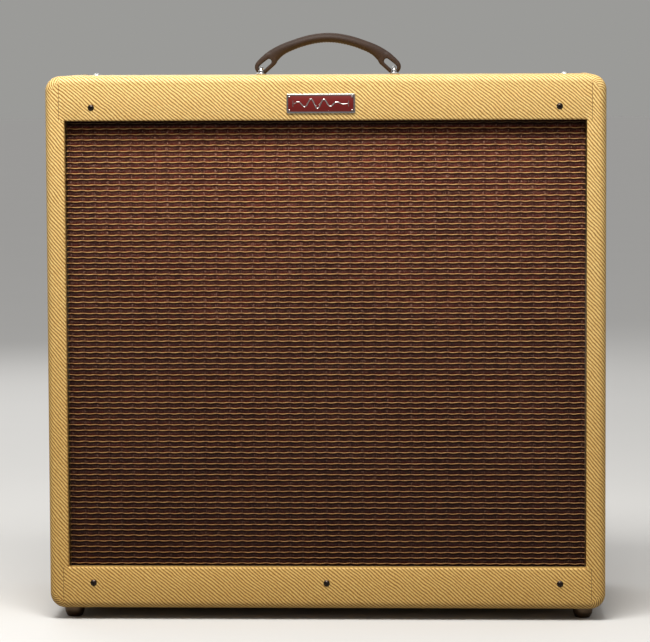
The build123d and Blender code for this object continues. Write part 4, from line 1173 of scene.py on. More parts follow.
# ---------------------------------------------------------------- grille cloth
def build_grille_weave():
    """Cloth across the baffle's front, slightly uneven, wrapped round its edges."""
    half_width, low, high = 0.2764, 0.0345, 0.5624
    front, behind = RAIL_BACK + 0.00035, BAFFLE_BACK + 0.0006
    turn = front + 0.0006
    # (x, y, is wrapped) and (z, y); the flat rows have no y of their own
    columns = [(-half_width + 0.011, behind, 1), (-half_width, behind, 1), (-half_width, turn, 1)]
    columns += [(x, front, 0) for x in lin(-half_width + 0.0005, half_width - 0.0005, 120)]
    columns += [(half_width, turn, 1), (half_width, behind, 1), (half_width - 0.011, behind, 1)]
    rows = [(low + 0.010, behind), (low, behind), (low, turn)]
    rows += [(z, None) for z in lin(low + 0.0005, high - 0.0005, 110)]
    rows += [(high, turn), (high, behind), (high - 0.0012, behind)]

    def cloth_lengths(path):
        """Length along the path, matching its first coordinate at the first flat point."""
        lengths = [0.0]
        for a, b in zip(path, path[1:]):
            lengths.append(lengths[-1] + math.dist(a, b))
        shift = lengths[3] - path[3][0]
        return [length - shift for length in lengths]

    us = cloth_lengths([(x, y) for x, y, _ in columns])
    vs = cloth_lengths([(z, front if y is None else y) for z, y in rows])
    verts, flat = [], []
    for (z, row_y), v in zip(rows, vs):
        for (x, column_y, wrapped), u in zip(columns, us):
            if row_y is not None:
                y = max(row_y, column_y)
            elif wrapped:
                y = column_y
            else:
                y = (front + 0.00022 * (0.5 + 0.5 * math.sin(x * 31 + 1.3) * math.sin(z * 23))
                     + 0.00008 * math.sin(z * math.tau / 0.031))
            verts.append((x, y, z))
            flat.append((u, v))
    width, height = len(columns), len(rows)
    faces = []
    for j in range(height - 1):
        for i in range(width - 1):
            if (i < 2 or i >= width - 3) and (j < 2 or j >= height - 3):
                continue
            a, b = j * width + i, (j + 1) * width + i
            faces.append((a, a + 1, b + 1, b))
    uvs = [[flat[k] for k in face] for face in faces]
    add_mesh("grille_cloth_weave", (verts, faces), "grille_weave", uvs, solid=0.00045,
             stands_for=("grille_cloth",), slot="grille_weave")


def build_gold_threads():
    """Each thread rides over the cloth and ducks under it once every repeat."""
    xs = np.arange(-0.2775, 0.27751, 0.0021)
    first_z = math.ceil((OPEN_BOTTOM + 0.0004) / GOLD_PITCH) * GOLD_PITCH
    # section: (up, forward) in half heights and half depths
    section = [(-1.0, 0.0), (-0.55, 0.8), (0.55, 0.8), (1.0, 0.0), (0.0, -0.55)]
    half_depth = 0.00045
    verts, faces, uvs = [], [], []
    n, count = len(section), len(xs)
    for row, z in enumerate(np.arange(first_z, OPEN_TOP - 0.0004, GOLD_PITCH)):
        shift = rng.uniform(-0.0007, 0.0007)
        lift = rng.uniform(-0.00012, 0.00012)
        swing = rng.uniform(0.75, 1.25)
        first = len(verts)
        for x in xs:
            phase = math.tau * (x + shift) / GOLD_REPEAT
            under = max(0.0, (math.cos(phase) - 0.55) / 0.45)
            rise = (0.00026 * swing * math.cos(phase + 0.6)
                    + 0.00012 * math.sin(x * 61 + row * 1.7) + lift)
            forward = 0.00040 - 0.00034 * under
            half_height = 0.00050 - 0.00010 * under
            for a, b in section:
                verts.append((x, RAIL_BACK + 0.0004 - forward - b * half_depth,
                              z + rise + a * half_height))
        for i in range(count - 1):
            here, there = first + i * n, first + (i + 1) * n
            u0, u1 = xs[i], xs[i + 1]
            for k in range(n):
                after = (k + 1) % n
                v0, v1 = z + 0.0002 * k, z + 0.0002 * (k + 1)
                faces.append((here + k, there + k, there + after, here + after))
                uvs.append([(u0, v0), (u1, v0), (u1, v1), (u0, v1)])
        faces.append(tuple(first + k for k in range(n)))
        uvs.append([(xs[0], z)] * n)
        faces.append(tuple(first + (count - 1) * n + k for k in reversed(range(n))))
        uvs.append([(xs[-1], z)] * n)
    add_mesh("grille_gold_threads", (verts, faces), "gold_thread", uvs, sharp=80,
             slot="grille_weave")


# ---------------------------------------------------------------- handle
def remesh(ob):
    """Rounds the object's edges through a fine voxel mesh, and keeps the result."""
    voxels = ob.modifiers.new("voxels", "REMESH")
    voxels.mode = "VOXEL"
    voxels.voxel_size = 0.00045
    smoothing = ob.modifiers.new("smoothing", "SMOOTH")
    smoothing.factor = 0.6
    smoothing.iterations = 9
    bpy.context.view_layer.update()
    evaluated = ob.evaluated_get(bpy.context.evaluated_depsgraph_get())
    mesh = bpy.data.meshes.new_from_object(evaluated)
    ob.modifiers.clear()
    old = ob.data
    ob.data = mesh
    bpy.data.meshes.remove(old)


def press_leather(mesh):
    """Swells the grip a little and presses a line along both its rims."""
    count = len(mesh.vertices)
    places, normals = np.empty(count * 3, np.float32), np.empty(count * 3, np.float32)
    mesh.vertices.foreach_get("co", places)
    mesh.vertices.foreach_get("normal", normals)
    places, normals = places.reshape(-1, 3), normals.reshape(-1, 3)

    def ease(t):
        return t * t * (3 - 2 * t)

    raised = ease(np.clip((places[:, 2] - TOP - 0.0120) / 0.006, 0, 1))
    middle = ease(np.clip((0.056 - np.abs(places[:, 0])) / 0.02, 0, 1))
    below = np.clip(-normals[:, 2], 0, 1)
    above = np.clip(normals[:, 2], 0, 1)
    swell = raised * (0.00055 * (1 - above * middle) + 0.0013 * middle * below)
    places = places + normals * swell[:, None]
    # half width of the grip by distance from its middle
    half_width = np.interp(np.abs(places[:, 0]), [0, 0.026, 0.046, 0.057],
                           [0.0080, 0.0072, 0.0054, 0.0040])
    off_line = np.abs(places[:, 1] - HANDLE_Y) - (half_width - 0.0022)
    groove = np.exp(-(off_line / 0.00045) ** 2) * middle
    groove = groove * np.clip(np.abs(normals[:, 2]) * 1.5, 0, 1)
    places = places - normals * (0.00030 * groove)[:, None]
    mesh.vertices.foreach_set("co", places.astype(np.float32).ravel())
    mesh.update()


def build_handle():
    """The CAD strap, thickened and rounded like pressed leather."""
    mesh = NODES["handle_grip"].data.copy()
    mesh.name = "handle_strap"
    strap = bpy.data.objects.new("handle_strap", mesh)
    bpy.context.scene.collection.objects.link(strap)
    remesh(strap)
    press_leather(strap.data)
    strap.data.materials.clear()
    strap.data.materials.append(MATERIALS["handle_leather"])
    shade_smooth(strap.data)
    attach(strap, "handle")
    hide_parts("handle_grip")
    build_stitches(strap.data)


def build_stitches(strap):
    """Two rows of stitches along the underside of the strap."""
    surface = BVHTree.FromPolygons([v.co.copy() for v in strap.vertices],
                                   [tuple(p.vertices) for p in strap.polygons])
    pitch, length = 0.0031, 0.0020
    stitches = []
    for row_y in (-0.0016, 0.0016):
        for k in range(-15, 16):
            path = []
            for q in (-0.5, -0.25, 0.0, 0.25, 0.5):
                start = Vector((k * pitch + q * length, HANDLE_Y + row_y, TOP - 0.02))
                hit = surface.ray_cast(start, Vector((0, 0, 1)))[0]
                if hit is not None:
                    sink = 0.00022 - 0.00034 * (1 - (2 * q) ** 2)
                    path.append(hit + Vector((0, 0, sink)))
            if len(path) == 5:
                stitches.append(tube(path, lambda i: 0.00034 if 0 < i < 4 else 0.00018, 8))
    add_mesh("handle_stitches", join(stitches), "stitch_thread", body="handle", sharp=60,
             slot="handle_leather")


# ---------------------------------------------------------------- badge
def build_badge():
    """A raised wave across the enamel field, with a short bar at each end."""
    centre_x, centre_z = -0.004, 0.5544
    y = FRONT - 0.0014 + 0.0001
    wave = []
    for t in lin(-1, 1, 140):
        swing = 0.0052 * math.exp(-2.2 * (t + 0.15) ** 2)
        wave.append((centre_x + t * 0.0290, y, centre_z + swing * math.sin(t * 13.0)))

    def thickness(i):
        return 0.00078 * (0.35 + 0.65 * math.sin(math.pi * i / 140) ** 0.5)

    add_mesh("badge_wave", tube(wave, thickness, 14), "nickel", sharp=60, slot="nickel")
    bars = [tube([(centre_x + side * 0.0296, y, centre_z + dz) for dz in (-0.0034, 0, 0.0034)],
                 0.00045, 12) for side in (-1, 1)]
    add_mesh("badge_bars", join(bars), "nickel", sharp=60, slot="nickel")


# ---------------------------------------------------------------- CAD pieces that stay in view
# material, edge bevel (0 for none), pieces
CARRIED = (
    ("nickel", 0.00025, "badge_frame"),
    ("red_enamel", 0.0001, "badge_enamel"),
    ("pine_upright", 0.0003, "side_panel_left side_panel_right"),
    ("pine_crosswise", 0.0003, "top_panel bottom_panel front_rails"),
    ("pine_cleat", 0.0006, "back_cleats"),
    ("baffle_plywood", 0, "baffle_board"),
    ("back_plywood", 0, "back_panel_upper back_panel_lower"),
    ("dark_screw", 0.0001, "baffle_screws"),
    ("screw_steel", 0.0001, "back_panel_screws"),
    ("nickel", 0.0001, "chassis_screws handle_bails"),
    ("glide", 0.0003, "glide_feet"),
    ("chassis_chrome", 0.0003, "chassis"),
    ("zinc", 0.0002, "speaker_fasteners toggle_switch_bodies"),
    ("nickel", 0.0002, "panel_nuts pilot_lamp_bezel"),
    ("nickel", 0.00015, "input_jacks"),
    ("zinc", 0.0003, "potentiometers"),
    ("jewel", 0, "pilot_lamp_jewel"),
    ("phenolic", 0.0003, "fuse_holder"),
    ("phenolic", 0.0002, "fuse_cap"),
    ("nickel", 0, "power_toggle standby_toggle"),
    ("fibre_board", 0.0002, "circuit_board"),
    ("socket_phenolic", 0.0003, "tube_sockets"),
    ("phenolic", 0.0008, "tube_bases"),
    ("zinc", 0.00015, "tube_retainers"),
    ("valve_glass", 0, "tube_envelopes"),
    ("valve_plate", 0.0002, "tube_electrodes"),
    ("core_black", 0.0005, "power_transformer output_transformer filter_choke"),
    ("components", 0.0008, "board_components"),
    ("filters", 0.0006, "filter_capacitors"),
    ("basket_paint", 0.0006, "speaker_frames"),
)
SMOOTH_ANGLE = 32                    # degrees; sharper edges stay hard
SMOOTH_ANGLES = {"pilot_lamp_jewel": 15, "tube_envelopes": 60, "speaker_frames": 30}
smooth_groups = {}


def smooth_group(angle):
    """Geometry nodes: smooth shading that breaks at edges sharper than the angle."""
    if angle in smooth_groups:
        return smooth_groups[angle]
    group = bpy.data.node_groups.new(f"smooth_{angle}", "GeometryNodeTree")
    for direction in ("INPUT", "OUTPUT"):
        group.interface.new_socket("Geometry", in_out=direction,
                                   socket_type="NodeSocketGeometry")
    start, end = group.nodes.new("NodeGroupInput"), group.nodes.new("NodeGroupOutput")
    by_face = group.nodes.new("GeometryNodeSetShadeSmooth")
    by_face.domain = "FACE"
    by_face.inputs["Shade Smooth"].default_value = True
    by_edge = group.nodes.new("GeometryNodeSetShadeSmooth")
    by_edge.domain = "EDGE"
    edge_angle = group.nodes.new("GeometryNodeInputMeshEdgeAngle")
    compare = group.nodes.new("FunctionNodeCompare")
    compare.data_type = "FLOAT"
    compare.operation = "LESS_EQUAL"
    compare.inputs[1].default_value = math.radians(angle)
    link = group.links.new
    link(start.outputs[0], by_face.inputs["Geometry"])
    link(by_face.outputs[0], by_edge.inputs["Geometry"])
    link(edge_angle.outputs["Unsigned Angle"], compare.inputs[0])
    link(compare.outputs[0], by_edge.inputs["Shade Smooth"])
    link(by_edge.outputs[0], end.inputs[0])
    smooth_groups[angle] = group
    return group


def carry(name, material, bevel):
    """Gives a CAD piece its finish, a small edge bevel and smooth shading."""
    ob = NODES[name]
    mesh = ob.data
    mesh.materials.clear()
    mesh.materials.append(MATERIALS[material])
    mesh.polygons.foreach_set("material_index", [0] * len(mesh.polygons))
    if "custom_normal" in mesh.attributes:
        mesh.attributes.remove(mesh.attributes["custom_normal"])
    shade_smooth(mesh)
    ob.modifiers.new("weld", "WELD").merge_threshold = 0.000002
    if bevel:
        edge = ob.modifiers.new("edge", "BEVEL")
        edge.width = bevel
        edge.segments = 2
        edge.limit_method = "ANGLE"
        edge.angle_limit = math.radians(38)
    smooth = ob.modifiers.new("smooth", "NODES")
    smooth.node_group = smooth_group(SMOOTH_ANGLES.get(name, SMOOTH_ANGLE))


def carry_cad_pieces():
    for material, bevel, names in CARRIED:
        for name in names.split():
            carry(name, material, bevel)


# ---------------------------------------------------------------- circuit board
def build_board_leads():
    """Component leads bent down to eyelets in two rows on the board."""
    board_y, eyelet_reach = 0.0324, 0.0165
    # component radius and length, mm, repeating along the board
    sizes = ((2.2, 11.0), (4.6, 24.0), (2.2, 11.0), (3.6, 20.0), (2.8, 14.0))
    eyelet = [(0.0008, 0.0), (0.0017, 0.0), (0.0016, 0.0005), (0.0010, 0.0006)]
    facing_back = Matrix.Rotation(math.radians(-90), 4, "X")
    leads, eyelets = [], []
    x, i = -0.228, 0
    while x < 0.112:
        radius, length = (size * MM for size in sizes[i % 5])
        y = board_y + radius + 0.0004
        for sign in (-1, 1):
            end_z = BOARD_MID_Z + sign * length / 2
            eyelet_z = BOARD_MID_Z + sign * eyelet_reach
            path = spline([
                (x, y, end_z - sign * 0.001), (x, y, end_z + sign * 0.0012),
                (x, y - radius * 0.3, eyelet_z - sign * 0.0006), (x, 0.0326, eyelet_z),
            ], 5)
            leads.append(tube(path, 0.00034, 8))
            place = Matrix.Translation((x, board_y, eyelet_z)) @ facing_back
            eyelets.append(lathe(eyelet, place, 20))
        x += (11.8 if i % 5 != 1 else 13.4) * MM
        i += 1
    add_mesh("board_leads", join(leads + eyelets), "zinc", sharp=40, slot="zinc")


# ---------------------------------------------------------------- speakers
SPEAKERS = {
    "upper_left": (-SPEAKER_X, SPEAKER_UPPER_Z), "upper_right": (SPEAKER_X, SPEAKER_UPPER_Z),
    "lower_left": (-SPEAKER_X, SPEAKER_LOWER_Z), "lower_right": (SPEAKER_X, SPEAKER_LOWER_Z),
}
# Speaker outlines: (radius, distance behind the baffle), mm.
CONE = [(13.3, 39.4), (15.2, 38.4), (30.0, 30.5), (52.0, 19.85), (78.0, 9.45), (100.0, 2.35)]
DUST_CAP = [
    (0.0001, 22.35), (5.0, 22.5), (10.0, 23.1), (15.0, 24.4),
    (19.0, 26.0), (22.5, 28.2), (25.2, 30.4), (26.6, 31.3),
]
COIL_FORMER = [(12.55, 37.0), (13.05, 37.0), (13.05, 54.4), (13.3, 54.4)]
MAGNET_COVER = [
    (0.1, 55.0), (12.0, 55.0), (12.0, 89.0), (30.0, 89.0), (30.0, 59.5), (36.6, 59.5),
    (37.5, 60.4), (37.5, 86.5), (37.1, 89.4), (35.6, 92.6), (33.0, 95.0), (29.5, 96.6),
    (26.0, 97.3), (14.0, 97.5), (13.2, 96.9), (6.0, 96.9), (5.2, 97.5), (0.1, 97.5),
]
TOP_PLATE = [(13.75, 53.5), (37.9, 53.5), (38.5, 54.1), (38.5, 58.8), (37.9, 59.35),
             (13.75, 59.35)]


def sheet(line, half_thickness):
    """Closed outline in metres of a thin sheet that follows a line in mm."""
    front = [(r, z - half_thickness) for r, z in line]
    back = [(r, z + half_thickness) for r, z in line]
    return mm(front + back[::-1])


def cone_line():
    """The cone from its rim inwards, with shallow concentric ribs."""
    radii, depths = zip(*CONE)
    line = []
    for r in lin(100.0, 13.3, 150):
        rib = 0.32 * math.cos(math.tau * (r - 60.0) / 7.0) if 55 < r < 97 else 0.0
        line.append((r, float(np.interp(r, radii, depths)) + rib))
    return line


def corrugated(radii, depths, steps, ease, waves, swing):
    """Waves between two radii, fading out over the ease steps at each end."""
    line = []
    for i in range(steps + 1):
        t = i / steps
        fade = min(1.0, i / ease[0], (steps - i) / ease[1])
        depth = depths[0] + (depths[1] - depths[0]) * t
        line.append((radii[0] + (radii[1] - radii[0]) * t,
                     depth + swing * fade * math.sin(math.tau * waves * t)))
    return line


def build_speakers():
    winding = [(13.3 if k % 2 else 13.18, 54.5 + k * 0.2) for k in range(20)]
    spider = corrugated((13.75, 49.5), (42.55, 42.55), 120, ease=(10, 14), waves=6.5, swing=0.62)
    surround = corrugated((100.5, 110.5), (2.0, 1.55), 60, ease=(8, 8), waves=2.5, swing=0.65)
    # name, outline, segments, material, sharp angle, CAD pieces replaced, slot
    moving = (
        ("cone_paper", sheet(cone_line(), 0.36), 128, "cone_paper", 60),
        ("dust_cap", sheet(DUST_CAP, 0.3), 64, "dust_cap", 60),
        ("voice_coil", mm(COIL_FORMER + winding + [(12.55, 58.4)]), 64, "voice_coil", 40),
    )
    fixed = (
        ("spider_cloths", sheet(spider, 0.22), 96, "spider_cloth", 80,
         ("speaker_spiders",), "spider_cloth"),
        ("surround_rings", sheet(surround, 0.28), 128, "surround_paper", 80,
         ("speaker_surrounds",), "surround_paper"),
        ("magnet_covers", mm(MAGNET_COVER), 96, "magnet_paint", 40,
         ("speaker_magnets",), "magnet_cover"),
        ("top_plates", mm(TOP_PLATE), 96, "zinc", 40, (), "magnet_cover"),
    )
    facing_back = Matrix.Rotation(math.radians(-90), 4, "X")
    places = {corner: Matrix.Translation((x, BAFFLE_BACK, z)) @ facing_back
              for corner, (x, z) in SPEAKERS.items()}
    for corner, place in places.items():
        body = f"speaker_cone_{corner}"
        for name, outline, segments, material, sharp in moving:
            add_mesh(f"speaker_{name}_{corner}", lathe(outline, place, segments), material,
                     sharp=sharp, body=body, slot="cone_paper",
                     stands_for=(body,) if name == "cone_paper" else ())
    for name, outline, segments, material, sharp, stands_for, slot in fixed:
        shape = join([lathe(outline, place, segments) for place in places.values()])
        add_mesh(f"speaker_{name}", shape, material, sharp=sharp, stands_for=stands_for,
                 slot=slot)


# ---------------------------------------------------------------- valves
LARGE_VALVES = [0.138, 0.092, 0.046]             # x
SMALL_VALVES = [-0.095, -0.150, -0.205]
VALVE_Y = 0.062


def film(outline):
    """Closes an open outline with a thin second layer just inside it."""
    return outline + [(max(r - 0.00012, 0.0001), z + 0.0001) for r, z in outline[::-1]]


def build_valve_insides():
    """Silvery flash inside the hanging ends, and the wires that hold the electrodes."""
    flashes, wires = [], []

    def wire(x, y, z_from, z_to, radius, segments):
        wires.append(tube([(x, y, z_from), (x, y, z_to)], radius, segments))

    for i, x in enumerate(LARGE_VALVES):
        head = CHASSIS_BOTTOM - 0.029
        height, radius = (0.072, 0.019) if i else (0.062, 0.0185)
        tip = head - height
        flashes.append(lathe(film([
            (0.0001, tip + 0.0013), (radius - 0.0096, tip + 0.0022),
            (radius - 0.0041, tip + 0.0072), (radius - 0.0013, tip + 0.0146),
            (radius - 0.0013, tip + 0.0200),
        ]), Matrix.Translation((x, VALVE_Y, 0)), 64))
        middle = head - height / 2 + 0.001
        for side_x in (-0.0085, 0.0085):
            for side_y in (-0.0098, 0.0098):
                wire(x + side_x, VALVE_Y + side_y, middle - height * 0.30,
                     middle + height * 0.33, 0.0006, 10)
        for side_x in (-0.003, 0.003):
            wire(x + side_x, VALVE_Y, head - 0.002, middle + height * 0.27, 0.0006, 8)

    for x in SMALL_VALVES:
        head = CHASSIS_BOTTOM - 0.005
        tip = head - 0.050
        flashes.append(lathe(film([
            (0.0016, tip + 0.0044), (0.0029, tip + 0.0048), (0.0077, tip + 0.0071),
            (0.0098, tip + 0.0104), (0.0098, tip + 0.0130),
        ]), Matrix.Translation((x, VALVE_Y, 0)), 48))
        for k in range(9):
            a = math.radians(36 * k + 20)
            wire(x + 0.0059 * math.cos(a), VALVE_Y + 0.0059 * math.sin(a),
                 head - 0.0012, head - 0.0098, 0.00035, 8)
    add_mesh("tube_getters", join(flashes), "getter_flash", sharp=60, slot="electrode")
    add_mesh("tube_supports", join(wires), "zinc", sharp=60, slot="electrode")


# ---------------------------------------------------------------- knobs
KNOBS = {                                        # x
    "presence": 0.082, "middle": 0.036, "bass": -0.010,
    "treble": -0.056, "volume_bright": -0.102, "volume_normal": -0.148,
}
# (radius, height)
KNOB_SKIRT = [
    (0.0088, 0.0), (0.0101, 0.0), (0.0104, 0.0005), (0.0104, 0.0026), (0.0100, 0.0040),
    (0.0092, 0.0054), (0.0080, 0.0062), (0.0072, 0.0064), (0.0001, 0.0064), (0.0001, 0.0060),
    (0.0084, 0.0056), (0.0086, 0.0048),
]
# half the pointer bar seen from above, (x, y): pointed in front, blunt at the tail
POINTER = [
    (0.0, -0.0180), (0.0010, -0.0172), (0.0020, -0.0150), (0.0034, -0.0110),
    (0.0044, -0.0070), (0.0050, -0.0035), (0.0056, 0.0010), (0.0060, 0.0050),
    (0.0058, 0.0080), (0.0048, 0.0102), (0.0030, 0.0116), (0.0, 0.0120),
]
# the bar's layers: height, width factor, length factor
POINTER_LAYERS = [
    (0.0058, 1.0, 1.0), (0.0090, 0.96, 0.985), (0.0125, 0.90, 0.965),
    (0.0143, 0.85, 0.95), (0.0150, 0.78, 0.93), (0.01535, 0.62, 0.89),
]
POINTER_CENTRE_Y = -0.003
SHAFT = [
    (0.0001, -0.0050), (0.0029, -0.0050), (0.003175, -0.0047), (0.003175, 0.0056),
    (0.0001, 0.0056),
]
# (y, z) along the pointer's top
KNOB_LINE = [(-0.0150, 0.01505), (-0.0120, 0.01542), (-0.0060, 0.01545), (0.0, 0.01545)]


def knob_shell(place):
    """Round skirt and a tapering pointer bar."""
    verts, faces = lathe(KNOB_SKIRT, Matrix.Identity(4), 64)
    right = [(max(p.x, 0.0), p.y) for p in spline([(x, y, 0) for x, y in POINTER], 4)]
    outline = right + [(-x, y) for x, y in right[-2:0:-1]]
    first, count = len(verts), len(outline)
    for z, wide, long in POINTER_LAYERS:
        for x, y in outline:
            length_y = (y - POINTER_CENTRE_Y) * long + POINTER_CENTRE_Y
            verts.append(Vector((x * wide, length_y, z)))
    faces += ring_quads(count, len(POINTER_LAYERS), first)
    top = first + (len(POINTER_LAYERS) - 1) * count
    faces.append(tuple(top + i for i in range(count)))
    faces.append(tuple(first + i for i in range(count))[::-1])
    return [place @ v for v in verts], faces


def knob_line(place):
    """Inlaid white line along the pointer."""
    half_width = 0.00042
    verts = []
    for y, z in KNOB_LINE:
        for x, dz in ((-half_width, 0.00004), (half_width, 0.00004),
                      (half_width, -0.00035), (-half_width, -0.00035)):
            verts.append(place @ Vector((x, y, z + dz)))
    end = (len(KNOB_LINE) - 1) * 4
    faces = ring_quads(4, len(KNOB_LINE)) + [(3, 2, 1, 0), tuple(end + i for i in range(4))]
    return verts, faces


def build_knobs():
    for name, x in KNOBS.items():
        place = Matrix.Translation((x, CONTROL_Y, PANEL_TOP + 0.001))
        body = f"knob_{name}"
        add_mesh(f"knob_shell_{name}", knob_shell(place), "phenolic", sharp=40, body=body,
                 stands_for=(body,), slot="phenolic")
        add_mesh(f"knob_shaft_{name}", lathe(SHAFT, place, 32), "zinc", sharp=40, body=body,
                 slot="zinc")
        add_mesh(f"knob_line_{name}", knob_line(place), "white_ink", sharp=40, body=body,
                 slot="phenolic")


# ---------------------------------------------------------------- printing on the panel
NUMERAL_RADIUS, TICK_RADIUS = 0.0166, 0.01185
# x from and to of the framing lines round each group of controls
PANEL_GROUPS = ((0.1045, 0.2600), (-0.1715, 0.1045), (-0.2640, -0.1715))


def text_shape(text, size):
    curve = bpy.data.curves.new("numeral", "FONT")
    curve.body = text
    curve.size = size
    curve.align_x = "CENTER"
    curve.align_y = "CENTER"
    curve.extrude = 0.00004
    curve.offset = 0.00007
    curve.resolution_u = 3
    ob = bpy.data.objects.new("numeral", curve)
    bpy.context.scene.collection.objects.link(ob)
    bpy.context.view_layer.update()
    evaluated = ob.evaluated_get(bpy.context.evaluated_depsgraph_get())
    mesh = bpy.data.meshes.new_from_object(evaluated)
    shape = [v.co.copy() for v in mesh.vertices], [tuple(p.vertices) for p in mesh.polygons]
    bpy.data.objects.remove(ob)
    bpy.data.curves.remove(curve)
    bpy.data.meshes.remove(mesh)
    return shape


def ink_slab(corners, top):
    """A thin printed slab on the panel, from its four (x, y) corners."""
    verts = [Vector((x, y, PANEL_TOP + h)) for h in (0.00001, top) for x, y in corners]
    return verts, [(3, 2, 1, 0), (4, 5, 6, 7)] + ring_quads(4, 2)


def build_panel_print():
    """Numerals and ticks round each knob, to be read from the back, and framing lines."""
    numerals = [text_shape(str(i), 0.0043) for i in range(1, 13)]
    half_turn = Matrix.Diagonal((-1, -1, 1, 1))
    ink = []
    for x in KNOBS.values():
        for i, (verts, faces) in enumerate(numerals):
            # clockwise seen from above, with the middle of the range towards the front
            a = math.radians(-150 + 300 * i / 11)
            out_x, out_y = -math.sin(a), -math.cos(a)
            place = Matrix.Translation((x + NUMERAL_RADIUS * out_x,
                                        CONTROL_Y + NUMERAL_RADIUS * out_y,
                                        PANEL_TOP + 0.00005)) @ half_turn
            ink.append(([place @ v for v in verts], faces))
            half_length, half_width = 0.0008, 0.00014
            corners = []
            for along_, across in ((-1, -1), (1, -1), (1, 1), (-1, 1)):
                r, w = TICK_RADIUS + along_ * half_length, across * half_width
                corners.append((x + out_x * r + out_y * w, CONTROL_Y + out_y * r - out_x * w))
            ink.append(ink_slab(corners, top=0.00009))
    line, front, back = 0.0003, 0.0335, 0.0865
    for start, end in PANEL_GROUPS:
        left, right = start + 0.001, end - 0.001
        for x0, x1, y0, y1 in (
            (left, right, front, front + line), (left, right, back - line, back),
            (left, left + line, front, back), (right - line, right, front, back),
        ):
            ink.append(ink_slab([(x0, y0), (x1, y0), (x1, y1), (x0, y1)], top=0.00007))
    add_mesh("panel_numerals", join(ink), "black_ink", sharp=None, slot="chassis_chrome")


# ---------------------------------------------------------------- speaker leads
BAFFLE_MM = BAFFLE_BACK / MM
# points along each pair of leads, mm
LEAD_RUNS = [
    [(-74.0, 80.0, 503.0), (-74.0, 80.0, 480.0), (-76.0, 74.0, 440.0), (-74.0, 40.0, 390.0),
     (-80.0, -20.0, 340.0), (-110.0, BAFFLE_MM + 34, 309.0), (-130.0, BAFFLE_MM + 19.0, 309.0)],
    [(-126.0, BAFFLE_MM + 17.0, 303.0), (-60.0, BAFFLE_MM + 44, 296.0),
     (0.0, BAFFLE_MM + 52, 290.0), (60.0, BAFFLE_MM + 44, 298.0),
     (124.0, BAFFLE_MM + 17.0, 306.0)],
]
# the drop from an upper to a lower speaker, alike on both sides
LEAD_RUNS += [
    [(side * x, BAFFLE_MM + behind, z) for x, behind, z in (
        (136.0, 17.0, 306.0), (168.0, 60, 280.0), (196.0, 92, 176.0), (180.0, 66, 88.0),
        (138.0, 17.0, 52.0))]
    for side in (1, -1)
]


def twisted(path, radius, pitch, phase):
    """Two strands wound round each other along a path."""
    length = 0.0
    strands = ([], [])
    for i, (point, (side, other)) in enumerate(zip(path, frames(path))):
        if i:
            length += (point - path[i - 1]).length
        a = math.tau * length / pitch + phase
        offset = (side * math.cos(a) + other * math.sin(a)) * radius
        strands[0].append(point + offset)
        strands[1].append(point - offset)
    return [tube(strand, radius * 0.98, 10) for strand in strands]


def build_speaker_leads():
    pairs = [twisted(cubic(mm(run), 0.0018), radius=0.00095, pitch=0.017, phase=k * 0.8)
             for k, run in enumerate(LEAD_RUNS)]
    black, white = zip(*pairs)
    add_mesh("speaker_leads_black", join(black), "lead_cloth", sharp=70,
             stands_for=("speaker_wiring",), slot="lead_cloth")
    add_mesh("speaker_leads_white", join(white), "lead_cloth_white", sharp=70,
             slot="lead_cloth")


# ---------------------------------------------------------------- mains cord, mm
CORD_X, CORD_Y = 264.0, 52.0                     # where it leaves the chassis
CORD_DROP = [
    (CORD_X, CORD_Y, 506.0), (CORD_X, CORD_Y, 455.0), (262.0, 56.0, 350.0),
    (258.0, 62.0, 200.0), (246.0, 74.0, 90.0),
]
COIL_X, COIL_Y, COIL_RADIUS, COIL_TURNS = 196.0, 44.0, 33.0, 2.15
# (radius, z)
GROMMET = [
    (3.75, 492.0), (5.0, 492.0), (6.9, 492.6), (7.8, 493.8), (8.0, 496.0), (7.9, 498.6),
    (7.4, 499.9), (6.0, 499.95), (5.95, 502.6), (5.6, 503.0), (3.75, 503.0),
]
EARTH_PIN = [(0.01, 45.0), (2.4, 45.0), (2.4, 62.8), (2.0, 64.2), (1.2, 64.9), (0.01, 65.0)]


def cord_path():
    """Down from the chassis into a loose coil on the bottom board."""
    points = list(CORD_DROP)
    steps = int(COIL_TURNS * 8)
    for k in range(steps + 1):
        a = math.radians(40.0) - math.tau * COIL_TURNS * k / steps
        z = 62.0 - 24.5 * min(k / 8.0, 1.0) + 8.8 * max(0, k - 14) / 3.0
        r = COIL_RADIUS + 0.98 * max(0, k - 2)
        points.append((COIL_X + r * math.cos(a), COIL_Y + r * math.sin(a), z))
    return cubic(mm(points), 0.0026)


def plug_outline():
    """(radius, distance along the plug) from the cord end."""
    outline = [(0.0001, 0.00005), (0.0040, 0.00005), (0.0046, 0.0005)]
    pitch = 0.0026
    for k in range(5):                           # strain relief with rings
        z, r = 0.0012 + k * pitch, 0.0048 + k * 0.00026
        outline += [(r, z), (r + 0.0002, z + 0.0014), (r - 0.0007, z + 0.0017),
                    (r - 0.0007, z + 0.0023)]
    outline += [(0.0062, 0.0142), (0.0085, 0.0185), (0.0112, 0.0216), (0.0121, 0.0240),
                (0.0126, 0.0262), (0.0130, 0.0290)]
    for k in range(4):                           # finger grooves
        z = 0.0305 + k * pitch
        outline += [(0.0130, z), (0.0122, z + 0.0006), (0.0122, z + 0.0014),
                    (0.0130, z + 0.0020)]
    outline += [(0.0130, 0.0438), (0.0127, 0.0452), (0.0119, 0.0460), (0.0001, 0.0460)]
    return outline


